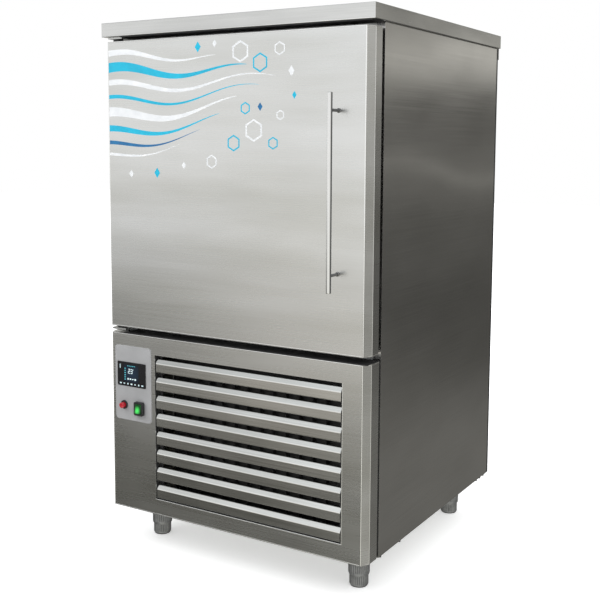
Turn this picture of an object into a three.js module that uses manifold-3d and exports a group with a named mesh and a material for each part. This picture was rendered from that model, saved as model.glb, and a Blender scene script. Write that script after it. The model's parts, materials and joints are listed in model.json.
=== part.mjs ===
// Free-standing blast chiller: insulated chamber with a side-hinged door above,
// condensing unit behind a louvred front panel below, four levelling feet.
// Millimetres. X to the right, Y to the back, Z up from the floor.
// The cabinet is drawn with the door face at Y = 0 and centred at the end.

import * as THREE from 'three';
import { mergeVertices } from 'three/addons/utils/BufferGeometryUtils.js';
import Module from 'manifold-3d';

const wasm = await Module();
wasm.setup();

// Cabinet
const bodyWidth = 774; // over the side panels
const bodyDepth = 785; // door face to back panel
const overallHeight = 1380;
const footHeight = 105; // floor to the underside of the cabinet
const sheetThickness = 1.5;
const wallThickness = 58; // foam between skin and liner
const panelReturn = 20; // fold at the front and rear edge of a side panel
const swageInset = 70; // back panel's edge to its pressed field
const swageDepth = 0.7;
const seatGap = 0.3; // left between pieces that rest on each other

// Worktop
const worktopThickness = 35;
const worktopOverhang = 8; // past each side panel
const worktopFrontReturn = 60;
const worktopSideReturn = 30;
const worktopTabWidth = 24; // rear fixing tabs
const worktopTabHeight = 30;
const worktopTabDepth = 9;

// Door and lower front panel, both folded to one corner profile
const doorThickness = 52;
const doorSideStep = 0.5; // door edge inside the cabinet's side
const doorTopGap = 13;
const doorPanelGap = 18;
const doorReturn = 22;
const cornerFoldWidth = 12;
const cornerFoldDepth = 22;
const lowerPanelHeight = 472;
const lowerPanelSideStep = 1.5;
const lowerPanelDepth = 58;
const lowerPanelReturn = 18;
const lowerPanelEnd = 29; // depth of the folds at its top and bottom
const doorSealFace = 45; // door edge to chamber opening, top and bottom
const linerFieldInset = 20; // chamber opening to the raised field of the door liner
const linerFieldDepth = 8;
const linerFieldCorner = 14;

// Door gasket
const gasketDepth = 12; // gap between door and cabinet that the gasket fills
const gasketWidth = 22;
const gasketInset = 5; // chamber opening to the inner edge of the gasket
const gasketBase = 3;
const magnetDepth = 5;

// Hinges
const hingeInset = 26; // axis from the door's hinge edge and from its face
const hingePinRadius = 5;
const hingePinReach = 24; // pin inside the door
const hingeRunning = 0.3; // radial clearance of pin and bush
const hingeBushWall = 4;
const hingeCollarRadius = 13;
const hingePlateThickness = 5;
const hingePlateWidth = 46;
const hingePlateFront = 16; // plate in front of the axis
const lowerHingeRise = 11; // top of the lower plate above the lower panel
const lowerHingeFlange = 38;

// Handle
const handleInset = 80.5; // door's opening edge to the bar's axis
const handleStandOff = 40; // door face to the bar's axis
const handleRadius = 6;
const handleRise = 146; // door's lower edge to the bar's lower end
const handleLength = 446;
const handlePostInset = 39; // bar end to post
const handlePostRadius = 5;
const handleBaseRadius = 8;

// Chamber
const linerThickness = 1.5;
const chamberCorner = 22;
const frontFrameThickness = 4;
const frontFrameLip = 10;
const rackFront = 92;
const rackBackGap = 19; // racks to baffle
const rackLevels = 10;
const rackFirstLevel = 42; // above the chamber floor
const rackTopGap = 65; // top runner to the chamber's ceiling
const runnerWidth = 40; // carries a tray 600 mm wide
const rackUprightWidth = 30;
const rackUprightInset = 40; // runner end to upright
const airSpace = 187.7; // baffle to the back of the chamber
const baffleAirGap = 26; // above and below the baffle
const baffleFold = 40;
const evaporatorDepth = 74;
const evaporatorSideGap = 26;
const evaporatorEndGap = 43.5; // above and below the coil
const evaporatorFins = 14;
const finThickness = 2;
const coreDepth = 12; // solid middle of a fin pack
const returnBends = 2; // at each end of a coil
const bendRadius = 12;
const bendReach = 16;
const bendTube = 4.5;
const drainRadius = 10;

// Louvre grille
const grilleLeftMargin = 155; // lower panel's edges to the opening
const grilleRightMargin = 64.5;
const grilleBottomMargin = 42;
const grilleTopMargin = 47;
const bladeCount = 8;
const bladeFace = 24; // vertical front of a blade
const bladeRise = 12.5; // bent-back top of a blade, up and back
const bladeLip = 5;
const bladeThickness = 1.2;
const bladeRecess = 1;
const bladeEndGap = 3;
const grilleFlange = 14; // fold round the panel's opening
const grilleRailWidth = 12;
const grilleRailDepth = 3;

// Controls on the lower front panel
const plateInset = 22.5; // lower panel's left edge to the plate
const plateDrop = 32; // lower panel's top edge to the plate
const plateWidth = 121;
const plateHeight = 199;
const plateCorner = 9;
const plateThickness = 1.5;
const displayAcross = 56; // plate's lower left corner to the display's centre
const displayUp = 123.5;
const displayWidth = 96;
const displayHeight = 65;
const displayProud = 1.2;
const displayBodyDepth = 24;
const displayRim = 5; // glass past the body behind it
const switchAcross = 83;
const switchUp = 36;
const switchWidth = 30;
const switchHeight = 36;
const switchProud = 9;
const switchBodyDepth = 24;
const switchRim = 4;
const rockerTilt = 9; // degrees, each side of level
const rockerProud = 1;
const rockerPivot = 5; // behind the bezel's front
const buttonAcross = 30;
const buttonUp = 40;
const buttonRadius = 8.5;
const buttonProud = 14;
const collarWall = 3;
const collarProud = 3;

// Machine compartment
const frameSheet = 2;
const trayEdge = 40;
const postWidth = 30;
const railHeight = 40;
const condenserX = 45;
const condenserSideGap = 117; // cabinet width left beside the condenser, each side
const condenserHeight = 380;
const condenserDepth = 42;
const condenserFront = 74;
const condenserFins = 14;
const shroudDepth = 36;
const shroudInlet = 16; // length of the ring round the condenser fan
const condenserFanTip = 140;
const condenserFanHub = 36;
const evaporatorFanTip = 116;
const evaporatorFanHub = 30;
const fanBlades = 5;
const fanBladeSpread = 0.36; // half angle of a blade, radians
const fanBladeThickness = 2;
const fanPitch = 0.42; // axial rise per mm round the rim
const fanTipGap = 7;
const fanDepth = 24; // hub length
const motorRadius = 34;
const motorLength = 62;
const motorShaftRadius = 4;
const motorArmWidth = 14;
const motorArmThickness = 4;
const motorFootLength = 20;
const motorClearance = 8; // hub to motor
const guardRings = 3;
const guardWire = 3;
const fanGuardGap = 12; // guard to hub
const compressorSide = 197; // cabinet's side to the compressor's axis
const compressorInset = 245; // back of the cabinet to the compressor's axis
const compressorLift = 20; // rubber mounts under the can
const compressorRadius = 108;
const compressorHeight = 226;
const suctionRise = 12; // suction stub past the top of the can
const receiverX = -60;
const receiverInset = 185;
const receiverLift = 12;
const receiverRadius = 45;
const receiverHeight = 210;
const pipeRadius = 6;
const pipeSides = 6;
const pipeLead = 20; // straight run before a pipe's first bend
const pipeRun = 60; // between two bends
const suctionPassInset = 60; // evaporator's end to the suction pipe
const feedPassInset = 110;
const dripTrayInsetX = 127; // cabinet's left side to the tray's middle
const dripTrayInsetY = 145; // back of the cabinet to the tray's middle
const dripTrayWidth = 200;
const dripTrayDepth = 170;
const dripTrayHeight = 34;
const boxDrop = 24; // chamber floor's underside to the control box
const boxHeight = 226;
const boxWidth = 135;
const boxDepth = 150;
const ventRows = 8;
const ventColumns = 2;
const ventPitch = 32;
const ventSlotHeight = 9;
const ventSlotWidth = 240;
const ventColumnPitch = 310;
const glandInset = 66;
const glandRise = 85; // above the cabinet's underside
const glandRadius = 14;
const glandNeckRadius = 10;
const glandReach = 15;

// Feet
const footInset = 79; // cabinet's side to the foot's axis
const frontFootY = 119;
const rearFootInset = 100;
const sleeveRadius = 27;
const sleeveLength = 76;
const footRadius = 24;
const footRunning = 0.5; // radial clearance of foot and sleeve
const footEngagement = 42; // foot inside its sleeve

// Sides of round pieces
const smallRound = 12;
const round = 18;
const wideRound = 24;

// Planes that several pieces share
const halfBody = bodyWidth / 2;
const skinInside = halfBody - sheetThickness;
const cabinetFront = doorThickness + gasketDepth;
const foamFront = cabinetFront + frontFrameThickness + seatGap;
const foamBack = bodyDepth - sheetThickness - seatGap;
const worktopBottom = overallHeight - worktopThickness;
const bodyTop = worktopBottom - seatGap;
const doorTop = worktopBottom - doorTopGap;
const panelTop = footHeight + lowerPanelHeight;
const doorBottom = panelTop + doorPanelGap;
const halfDoor = halfBody - doorSideStep;
const halfPanel = halfBody - lowerPanelSideStep;
const chamberHalf = skinInside - wallThickness - linerThickness;
const chamberBottom = doorBottom + doorSealFace;
const chamberTop = doorTop - doorSealFace;
const chamberBack = foamBack - wallThickness - linerThickness;
const foamBottom = chamberBottom - linerThickness - wallThickness;
const frameTop = foamBottom - seatGap;
const trayBottom = footHeight + sheetThickness + seatGap;
const trayFloor = trayBottom + frameSheet;
const standing = trayFloor + seatGap; // where the machinery stands
const hingeX = -halfDoor + hingeInset;
const hingeY = hingeInset;
const handleX = halfDoor - handleInset;
const handleBottom = doorBottom + handleRise;
const handleTop = handleBottom + handleLength;
const grilleLeft = -halfPanel + grilleLeftMargin;
const grilleRight = halfPanel - grilleRightMargin;
const grilleBottom = footHeight + grilleBottomMargin;
const grilleTop = panelTop - grilleTopMargin;
const bladePitch = (grilleTop - grilleBottom) / bladeCount;
const plateLeft = -halfPanel + plateInset;
const plateBottom = panelTop - plateDrop - plateHeight;
const displayX = plateLeft + displayAcross;
const displayZ = plateBottom + displayUp;
const switchX = plateLeft + switchAcross;
const switchZ = plateBottom + switchUp;
const buttonX = plateLeft + buttonAcross;
const buttonZ = plateBottom + buttonUp;
const innerWidth = halfBody - panelReturn - seatGap; // between the folds of the side panels
const baffleY = chamberBack - airSpace;
const rackBack = baffleY - rackBackGap;
const rackPitch = (chamberTop - chamberBottom - rackFirstLevel - rackTopGap) / (rackLevels - 1);
const fanZ = [1 / 4, 3 / 4].map((share) => chamberBottom + share * (chamberTop - chamberBottom));
const evaporatorHalf = chamberHalf - evaporatorSideGap;
const evaporatorFront = chamberBack - seatGap - evaporatorDepth;
const evaporatorBottom = chamberBottom + evaporatorEndGap;
const condenserHalf = halfBody - condenserSideGap;
const condenserBack = condenserFront + condenserDepth;
const condenserFanZ = standing + condenserHeight / 2;
const compressorX = halfBody - compressorSide;
const compressorY = bodyDepth - compressorInset;
const compressorBase = standing + compressorLift;
const compressorTop = compressorBase + compressorHeight;
const suctionStub = [compressorX + 62, compressorY + 34];
const receiverY = bodyDepth - receiverInset;
const receiverBase = standing + receiverLift;
const receiverTop = receiverBase + receiverHeight;
const dripTrayX = -halfBody + dripTrayInsetX;
const dripTrayY = bodyDepth - dripTrayInsetY;
const drainPlace = [dripTrayX, dripTrayY, 0];
const gland = [-innerWidth + glandInset, bodyDepth, footHeight + glandRise];
const bushHole = hingePinRadius + hingeRunning + hingeBushWall + seatGap;

// ---- Tools for shapes ----

// A closed geometry as a solid that can be joined and cut.
function solid(geometry) {
  const bare = geometry.clone();
  bare.deleteAttribute('normal');
  bare.deleteAttribute('uv');
  const merged = mergeVertices(bare, 1e-4);
  const corners = merged.index.array;
  const triangles = [];
  for (let i = 0; i < corners.length; i += 3) {
    const [a, b, c] = [corners[i], corners[i + 1], corners[i + 2]];
    if (a !== b && b !== c && c !== a) {
      triangles.push(a, b, c);
    }
  }
  return new wasm.Manifold(new wasm.Mesh({
    numProp: 3,
    vertProperties: Float32Array.from(merged.attributes.position.array),
    triVerts: Uint32Array.from(triangles),
  }));
}

function join(...solids) {
  return solids.reduce((sum, next) => sum.add(next));
}

function cut(body, ...tools) {
  return tools.reduce((rest, tool) => rest.subtract(tool), body);
}

function block(x, y, z) {
  const box = new THREE.BoxGeometry(x[1] - x[0], y[1] - y[0], z[1] - z[0]);
  box.translate((x[0] + x[1]) / 2, (y[0] + y[1]) / 2, (z[0] + z[1]) / 2);
  return solid(box);
}

// A flat shape pushed along an axis: X takes (y, z), Y takes (x, z), Z takes (x, y).
function push(shape, axis, low, high, curveSegments = 6) {
  const geometry = new THREE.ExtrudeGeometry(shape, {
    depth: high - low,
    bevelEnabled: false,
    curveSegments,
  });
  const turn = new THREE.Matrix4();
  if (axis === 'X') {
    turn.makeBasis(vector(0, 1, 0), vector(0, 0, 1), vector(1, 0, 0)).setPosition(low, 0, 0);
  } else if (axis === 'Y') {
    turn.makeBasis(vector(1, 0, 0), vector(0, 0, 1), vector(0, -1, 0)).setPosition(0, high, 0);
  } else {
    turn.makeTranslation(0, 0, low);
  }
  return solid(geometry.applyMatrix4(turn));
}

function vector(x, y, z) {
  return new THREE.Vector3(x, y, z);
}

function outline(points) {
  return new THREE.Shape(points.map(([u, v]) => new THREE.Vector2(u, v)));
}

function rectangle(u, v) {
  return outline([[u[0], v[0]], [u[1], v[0]], [u[1], v[1]], [u[0], v[1]]]);
}

function roundedRectangle(u, v, radius) {
  const shape = new THREE.Shape();
  const quarter = Math.PI / 2;
  shape.absarc(u[0] + radius, v[0] + radius, radius, 2 * quarter, 3 * quarter);
  shape.absarc(u[1] - radius, v[0] + radius, radius, -quarter, 0);
  shape.absarc(u[1] - radius, v[1] - radius, radius, 0, quarter);
  shape.absarc(u[0] + radius, v[1] - radius, radius, quarter, 2 * quarter);
  return shape;
}

function withHole(shape, hole) {
  shape.holes.push(hole);
  return shape;
}

// The section of a bent sheet: a path and the same path moved to its left by the thickness.
function bentSheet(path, thickness) {
  const points = path.map(([u, v]) => new THREE.Vector2(u, v));
  const normals = points.slice(1).map((point, i) => {
    const along = point.clone().sub(points[i]).normalize();
    return new THREE.Vector2(-along.y, along.x);
  });
  const moved = points.map((point, i) => {
    const before = normals[Math.max(i - 1, 0)];
    const after = normals[Math.min(i, normals.length - 1)];
    const mitre = before.clone().add(after).normalize();
    return point.clone().addScaledVector(mitre, thickness / mitre.dot(before));
  });
  return new THREE.Shape([...points, ...moved.reverse()]);
}

// A turned piece: profile of [radius, height], from the axis at the bottom to the axis at the
// top, or a closed loop. The axis is Z unless it is turned to Y.
function turned(profile, segments, place, axis = 'Z') {
  const points = profile.map(([r, h]) => new THREE.Vector2(r, h));
  const lathe = new THREE.LatheGeometry(points, segments);
  if (axis === 'Z') {
    lathe.rotateX(Math.PI / 2);
  }
  lathe.translate(...place);
  return solid(lathe);
}

function cylinder(radius, low, high, segments, place, axis = 'Z') {
  return turned([[0, low], [radius, low], [radius, high], [0, high]], segments, place, axis);
}

function ring(inner, outer, low, high, segments, place, axis = 'Z') {
  const loop = [[inner, low], [outer, low], [outer, high], [inner, high], [inner, low]];
  return turned(loop, segments, place, axis);
}

// A pipe through the given points with rounded bends.
function pipe(points, radius, steps) {
  const corners = points.map((point) => vector(...point));
  const path = new THREE.CatmullRomCurve3(corners, false, 'centripetal');
  const section = new THREE.Shape();
  section.absarc(0, 0, radius, 0, 2 * Math.PI);
  return solid(new THREE.ExtrudeGeometry(section, {
    steps,
    curveSegments: pipeSides / 2,
    extrudePath: path,
  }));
}

// ---- Finishes ----

function finish(color, roughness, metalness) {
  return { color, roughness, metalness };
}

const brushedSteel = finish(0xb9bab6, 0.34, 1);
const darkBrushedSteel = finish(0x8d8d88, 0.38, 1);
const polishedSteel = finish(0xd4d6d6, 0.16, 1);
const galvanised = finish(0x9a9f9f, 0.5, 0.9);
const foam = finish(0xe6d9a8, 0.9, 0);
const blackRubber = finish(0x1b1b1c, 0.75, 0);
const greyRubber = finish(0x6b6d6e, 0.7, 0);
const blackPlastic = finish(0x161718, 0.45, 0);
const greyPlastic = finish(0x787a7a, 0.5, 0);
const glassBlack = finish(0x08090b, 0.08, 0);
const greenLens = finish(0x1f9a3c, 0.3, 0);
const redPlastic = finish(0xb4161b, 0.35, 0);
const aluminium = finish(0xc4c8ca, 0.42, 0.95);
const copper = finish(0xb46a3c, 0.35, 1);
const blackPaint = finish(0x202123, 0.5, 0.2);
const lightSteel = finish(0xa9abab, 0.4, 0.9);

const cabinet = new THREE.Group();

function addPart(name, body, look) {
  const { vertProperties, triVerts } = body.getMesh();
  const geometry = new THREE.BufferGeometry();
  geometry.setAttribute('position', new THREE.BufferAttribute(vertProperties, 3));
  geometry.setIndex(new THREE.BufferAttribute(triVerts, 1));
  const flat = geometry.toNonIndexed();
  flat.computeVertexNormals();
  const mesh = new THREE.Mesh(flat, new THREE.MeshStandardMaterial(look));
  mesh.name = name;
  cabinet.add(mesh);
}

// ---- Outer skins ----

// Inverted tray with folded returns under its edges and two fixing tabs at the back.
function makeWorktop() {
  const half = halfBody + worktopOverhang;
  const pocket = half - sheetThickness;
  const mouth = half - worktopSideReturn;
  const shell = cut(
    block([-half, half], [0, bodyDepth], [worktopBottom, overallHeight]),
    block(
      [-pocket, pocket],
      [sheetThickness, bodyDepth - sheetThickness],
      [worktopBottom + sheetThickness, overallHeight - sheetThickness],
    ),
    block(
      [-mouth, mouth],
      [worktopFrontReturn, bodyDepth - worktopSideReturn],
      [worktopBottom - 1, worktopBottom + sheetThickness + 1],
    ),
  );
  const tabBack = bodyDepth + worktopTabDepth;
  const tabTop = worktopBottom + sheetThickness;
  const tabs = [-halfBody, halfBody - worktopTabWidth].map((x) => {
    const across = [x, x + worktopTabWidth];
    return join(
      block(across, [bodyDepth - 1, tabBack], [worktopBottom, tabTop]),
      block(across, [tabBack - sheetThickness, tabBack], [worktopBottom - worktopTabHeight, tabTop]),
    );
  });
  addPart('worktop', join(shell, ...tabs), brushedSteel);
}

// Folded sheet: outer face, front and rear folds, and a fold under the cabinet.
function makeSidePanels() {
  for (const [name, side] of [['side_panel_left', -1], ['side_panel_right', 1]]) {
    const path = [
      [halfBody - panelReturn, cabinetFront],
      [halfBody, cabinetFront],
      [halfBody, bodyDepth],
      [halfBody - panelReturn, bodyDepth],
    ];
    const folded = push(bentSheet(path, sheetThickness), 'Z', footHeight, bodyTop);
    const foot = block(
      [halfBody - panelReturn, halfBody - sheetThickness / 2],
      [cabinetFront, bodyDepth],
      [footHeight, footHeight + sheetThickness],
    );
    const panel = join(folded, foot);
    addPart(name, side < 0 ? panel.mirror([1, 0, 0]) : panel, darkBrushedSteel);
  }
}

function makeBackPanel() {
  const plate = block(
    [-innerWidth, innerWidth],
    [bodyDepth - sheetThickness, bodyDepth],
    [foamBottom + seatGap, bodyTop],
  );
  // A shallow swage stiffens the sheet.
  const swage = block(
    [-innerWidth + swageInset, innerWidth - swageInset],
    [bodyDepth - swageDepth, bodyDepth + 1],
    [foamBottom + swageInset, bodyTop - swageInset],
  );
  addPart('back_panel', cut(plate, swage), lightSteel);
}

// Lower rear cover with rows of air slots and the hole for the cable gland.
function makeRearVentPanel() {
  const plate = block(
    [-innerWidth, innerWidth],
    [bodyDepth - sheetThickness, bodyDepth],
    [footHeight + sheetThickness + seatGap, foamBottom],
  );
  const slots = [];
  const middle = (footHeight + foamBottom) / 2 + ventPitch / 2;
  for (let row = 0; row < ventRows; row += 1) {
    for (let column = 0; column < ventColumns; column += 1) {
      const x = (column - (ventColumns - 1) / 2) * ventColumnPitch;
      const z = middle + (row - (ventRows - 1) / 2) * ventPitch;
      slots.push(block(
        [x - ventSlotWidth / 2, x + ventSlotWidth / 2],
        [bodyDepth - sheetThickness - 1, bodyDepth + 1],
        [z - ventSlotHeight / 2, z + ventSlotHeight / 2],
      ));
    }
  }
  const hole = cylinder(
    glandNeckRadius + seatGap,
    -sheetThickness - 1,
    1,
    round,
    gland,
    'Y',
  );
  addPart('rear_vent_panel', cut(plate, ...slots, hole), lightSteel);
}

// Neck through the panel, collar and clamping nut.
function makeCableGland() {
  const profile = [
    [0, -glandNeckRadius],
    [glandNeckRadius, -glandNeckRadius],
    [glandNeckRadius, seatGap],
    [glandRadius, seatGap],
    [glandRadius, 6],
    [glandRadius - 3, 8],
    [glandNeckRadius, glandReach],
    [0, glandReach],
  ];
  addPart('cable_gland', turned(profile, smallRound, gland, 'Y'), blackPlastic);
}

// ---- Insulated body and chamber ----

function chamberSpace(grow, front, back) {
  const across = [-chamberHalf - grow, chamberHalf + grow];
  const up = [chamberBottom - grow, chamberTop + grow];
  return push(roundedRectangle(across, up, chamberCorner + grow), 'Y', front, back, 3);
}

function makeInsulation() {
  const core = block(
    [-skinInside + seatGap, skinInside - seatGap],
    [foamFront, foamBack],
    [foamBottom, bodyTop],
  );
  const clear = linerThickness + seatGap;
  const room = chamberSpace(clear, foamFront - 1, chamberBack + clear);
  const drain = cylinder(drainRadius + seatGap, foamBottom - 1, chamberBottom, smallRound, drainPlace);
  addPart('insulation_body', cut(core, room, drain, ...pipeHoles()), foam);
}

// Welded stainless chamber with coved corners and a drain hole in its floor.
function makeLiner() {
  const front = cabinetFront + frontFrameLip + seatGap;
  const outer = chamberSpace(linerThickness, front, chamberBack + linerThickness);
  const inner = chamberSpace(0, cabinetFront, chamberBack);
  const low = chamberBottom - 2 * linerThickness;
  const drain = cylinder(drainRadius + seatGap, low, chamberBottom + 1, smallRound, drainPlace);
  addPart('chamber_liner', cut(outer, inner, drain, ...pipeHoles()), polishedSteel);
}

// The face that the door gasket closes on, with a lip that holds the liner's edge.
function makeFrontFrame() {
  const whole = rectangle([-innerWidth, innerWidth], [foamBottom, bodyTop]);
  const across = [-chamberHalf, chamberHalf];
  const mouth = roundedRectangle(across, [chamberBottom, chamberTop], chamberCorner);
  const face = push(withHole(whole, mouth), 'Y', cabinetFront, cabinetFront + frontFrameThickness, 3);
  const lipOuter = chamberSpace(linerThickness, cabinetFront + 1, cabinetFront + frontFrameLip);
  const lipInner = chamberSpace(0, cabinetFront, cabinetFront + frontFrameLip + 1);
  addPart('chamber_front_frame', join(face, cut(lipOuter, lipInner)), polishedSteel);
}

// Two uprights joined by flat runners, one per tray.
function makeTrayRacks() {
  for (const [name, side] of [['tray_rack_left', -1], ['tray_rack_right', 1]]) {
    const wall = chamberHalf - seatGap;
    const base = chamberBottom + chamberCorner;
    const top = chamberTop - chamberCorner;
    const first = rackFront + rackUprightInset;
    const last = rackBack - rackUprightInset - rackUprightWidth;
    const uprights = [first, last].map((y) => (
      block([wall - 2, wall], [y, y + rackUprightWidth], [base, top])
    ));
    const runners = [];
    for (let level = 0; level < rackLevels; level += 1) {
      const z = chamberBottom + rackFirstLevel + level * rackPitch;
      runners.push(block([wall - runnerWidth, wall], [rackFront, rackBack], [z, z + sheetThickness]));
    }
    const rack = join(...uprights, ...runners);
    addPart(name, side < 0 ? rack.mirror([1, 0, 0]) : rack, polishedSteel);
  }
}

// Sheet between trays and evaporator, with a wire guard over each fan opening.
function makeBaffle() {
  const half = chamberHalf - seatGap;
  const back = baffleY + sheetThickness;
  const up = [chamberBottom + baffleAirGap, chamberTop - baffleAirGap];
  const sheet = block([-half, half], [baffleY, back], up);
  const folds = [-half, half - sheetThickness].map((x) => (
    block([x, x + sheetThickness], [baffleY, baffleY + baffleFold], up)
  ));
  const opening = evaporatorFanTip + fanTipGap;
  const holes = fanZ.map((z) => cylinder(opening, baffleY - 1, back + 1, wideRound, [0, 0, z], 'Y'));
  const guards = fanZ.map((z) => fanGuard(z, opening));
  addPart('fan_baffle', join(cut(join(sheet, ...folds), ...holes), ...guards), polishedSteel);
}

// Flat rings on radial bars.
function fanGuard(z, opening) {
  const place = [0, baffleY, z];
  const rings = [];
  for (let i = 1; i <= guardRings; i += 1) {
    const inner = (opening * i) / (guardRings + 1) - guardWire / 2;
    rings.push(ring(inner, inner + guardWire, -guardWire, 0, smallRound, place, 'Y'));
  }
  const bars = [0, 1].map((i) => {
    const reach = opening + 8;
    const bar = new THREE.BoxGeometry(2 * reach, guardWire, guardWire);
    bar.rotateY((i * Math.PI) / 2);
    bar.translate(0, baffleY - guardWire / 2, z);
    return solid(bar);
  });
  const hub = cylinder(14, -guardWire, 0, smallRound, place, 'Y');
  return join(hub, ...bars, ...rings);
}

// Fin pack: a core with vertical fins and the return bends at its ends.
function finPack(x, y, z, fins, bends) {
  const middle = (y[0] + y[1]) / 2;
  const coreUp = [z[0] + finThickness, z[1] - finThickness];
  const core = block(x, [middle - coreDepth / 2, middle + coreDepth / 2], coreUp);
  const plates = [];
  for (let i = 0; i <= fins; i += 1) {
    const at = x[0] + ((x[1] - x[0]) * i) / fins;
    plates.push(block([at - finThickness / 2, at + finThickness / 2], y, z));
  }
  const loops = [];
  for (let i = 0; i < bends; i += 1) {
    const height = z[0] + ((z[1] - z[0]) * (i + 0.5)) / bends;
    for (const [end, reach] of [[x[0], -bendReach], [x[1], bendReach]]) {
      const bend = [[-0.25, -1], [0.7, -0.75], [1, 0], [0.7, 0.75], [-0.25, 1]];
      const points = bend.map(([out, up]) => [end + out * reach, middle, height + up * bendRadius]);
      loops.push(pipe(points, bendTube, 5));
    }
  }
  return join(core, ...plates, ...loops);
}

function makeEvaporator() {
  const coil = finPack(
    [-evaporatorHalf, evaporatorHalf],
    [evaporatorFront, evaporatorFront + evaporatorDepth],
    [evaporatorBottom, chamberTop - evaporatorEndGap],
    evaporatorFins,
    returnBends,
  );
  addPart('evaporator_coil', coil, aluminium);
}

// ---- Fans ----

// Motor can with its shaft, carried by three arms that bend forward to the plate it is on.
function fanMotor(x, z, plateBack, reach, hubFront) {
  const canFront = hubFront + fanDepth + motorClearance;
  const place = [x, 0, z];
  const can = turned([
    [0, canFront],
    [motorRadius - 6, canFront],
    [motorRadius, canFront + 6],
    [motorRadius, canFront + motorLength - 8],
    [motorRadius - 8, canFront + motorLength],
    [0, canFront + motorLength],
  ], smallRound, place, 'Y');
  const shaft = cylinder(motorShaftRadius, hubFront + 4, canFront + 1, smallRound, place, 'Y');
  const arms = [0, 1, 2].map((i) => {
    const start = plateBack + seatGap;
    const thick = motorArmThickness;
    const armBack = canFront + 14;
    const radial = new THREE.BoxGeometry(reach - motorRadius + 10, thick, motorArmWidth);
    radial.translate((reach + motorRadius - 10) / 2, armBack - thick / 2, 0);
    const forward = new THREE.BoxGeometry(thick, armBack - start, motorArmWidth);
    forward.translate(reach - thick / 2, (armBack + start) / 2, 0);
    const foot = new THREE.BoxGeometry(motorFootLength, thick, motorArmWidth);
    foot.translate(reach - thick + motorFootLength / 2, start + thick / 2, 0);
    const angle = Math.PI / 2 + (i * 2 * Math.PI) / 3;
    const turn = new THREE.Matrix4().makeRotationY(angle).setPosition(x, 0, z);
    return join(...[radial, forward, foot].map((piece) => solid(piece.applyMatrix4(turn))));
  });
  return join(can, shaft, ...arms);
}

// Pitched blades on a hub that turns on the motor shaft.
function fanWheel(x, z, hubFront, tip, hubRadius) {
  const place = [x, 0, z];
  const hub = turned([
    [0, hubFront],
    [hubRadius - 4, hubFront],
    [hubRadius, hubFront + 4],
    [hubRadius, hubFront + fanDepth],
    [0, hubFront + fanDepth],
  ], smallRound, place, 'Y');
  const middle = hubFront + fanDepth / 2;
  const spread = fanBladeSpread;
  const blades = [];
  for (let i = 0; i < fanBlades; i += 1) {
    const shape = new THREE.Shape();
    shape.absarc(0, 0, hubRadius - 4, -spread, spread, false);
    shape.absarc(0, 0, tip, spread * 1.15, -spread * 0.75, true);
    const blade = new THREE.ExtrudeGeometry(shape, {
      depth: fanBladeThickness,
      bevelEnabled: false,
      curveSegments: 3,
    });
    const at = blade.attributes.position;
    for (let corner = 0; corner < at.count; corner += 1) {
      const rise = at.getY(corner) * fanPitch - fanBladeThickness / 2;
      at.setZ(corner, at.getZ(corner) + rise);
    }
    blade.rotateX(Math.PI / 2);
    blade.rotateY((i * 2 * Math.PI) / fanBlades);
    blade.translate(x, middle, z);
    blades.push(solid(blade));
  }
  const boreRadius = motorShaftRadius + seatGap;
  const bore = cylinder(boreRadius, hubFront + 3.5, hubFront + fanDepth + 1, smallRound, place, 'Y');
  return cut(join(hub, ...blades), bore);
}

function makeEvaporatorFans() {
  const hubFront = baffleY + fanGuardGap;
  const names = ['lower', 'upper'];
  fanZ.forEach((z, i) => {
    const motor = fanMotor(0, z, baffleY + sheetThickness, evaporatorFanTip + fanTipGap + 8, hubFront);
    addPart(`evaporator_fan_motor_${names[i]}`, motor, aluminium);
    const wheel = fanWheel(0, z, hubFront, evaporatorFanTip, evaporatorFanHub);
    addPart(`evaporator_fan_${names[i]}`, wheel, aluminium);
  });
}

// ---- Door ----

// The front half of a folded pan, open towards the back.
function panPath(half, depth, fold) {
  const face = half - cornerFoldWidth;
  return [
    [-half + fold, depth],
    [-half, depth],
    [-half, cornerFoldDepth],
    [-face, 0],
    [face, 0],
    [half, cornerFoldDepth],
    [half, depth],
    [half - fold, depth],
  ];
}

// The closed section of such a pan.
function panSection(half, depth) {
  const face = half - cornerFoldWidth;
  return outline([
    [-half, depth],
    [-half, cornerFoldDepth],
    [-face, 0],
    [face, 0],
    [half, cornerFoldDepth],
    [half, depth],
  ]);
}

function makeDoorSkin() {
  const path = panPath(halfDoor, doorThickness, doorReturn);
  const wall = push(bentSheet(path, sheetThickness), 'Z', doorBottom, doorTop);
  const section = panSection(halfDoor, doorThickness);
  const ends = [
    push(section, 'Z', doorBottom, doorBottom + sheetThickness),
    push(section, 'Z', doorTop - sheetThickness, doorTop),
  ];
  const holes = [doorBottom, doorTop].map((z) => (
    cylinder(bushHole, z - 3, z + 3, round, [hingeX, hingeY, 0])
  ));
  addPart('door_skin', cut(join(wall, ...ends), ...holes), brushedSteel);
}

function makeDoorInsulation() {
  const gap = sheetThickness + seatGap;
  const half = halfDoor - gap;
  const shape = outline([
    [-half, doorThickness - gap],
    [-half, cornerFoldDepth + 1],
    [-half + cornerFoldWidth, gap],
    [half - cornerFoldWidth, gap],
    [half, cornerFoldDepth + 1],
    [half, doorThickness - gap],
  ]);
  const core = push(shape, 'Z', doorBottom + gap, doorTop - gap);
  const depth = hingePinReach + 6;
  const holes = [
    cylinder(bushHole, doorBottom, doorBottom + depth, round, [hingeX, hingeY, 0]),
    cylinder(bushHole, doorTop - depth, doorTop, round, [hingeX, hingeY, 0]),
  ];
  addPart('door_insulation', cut(core, ...holes), foam);
}

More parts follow.
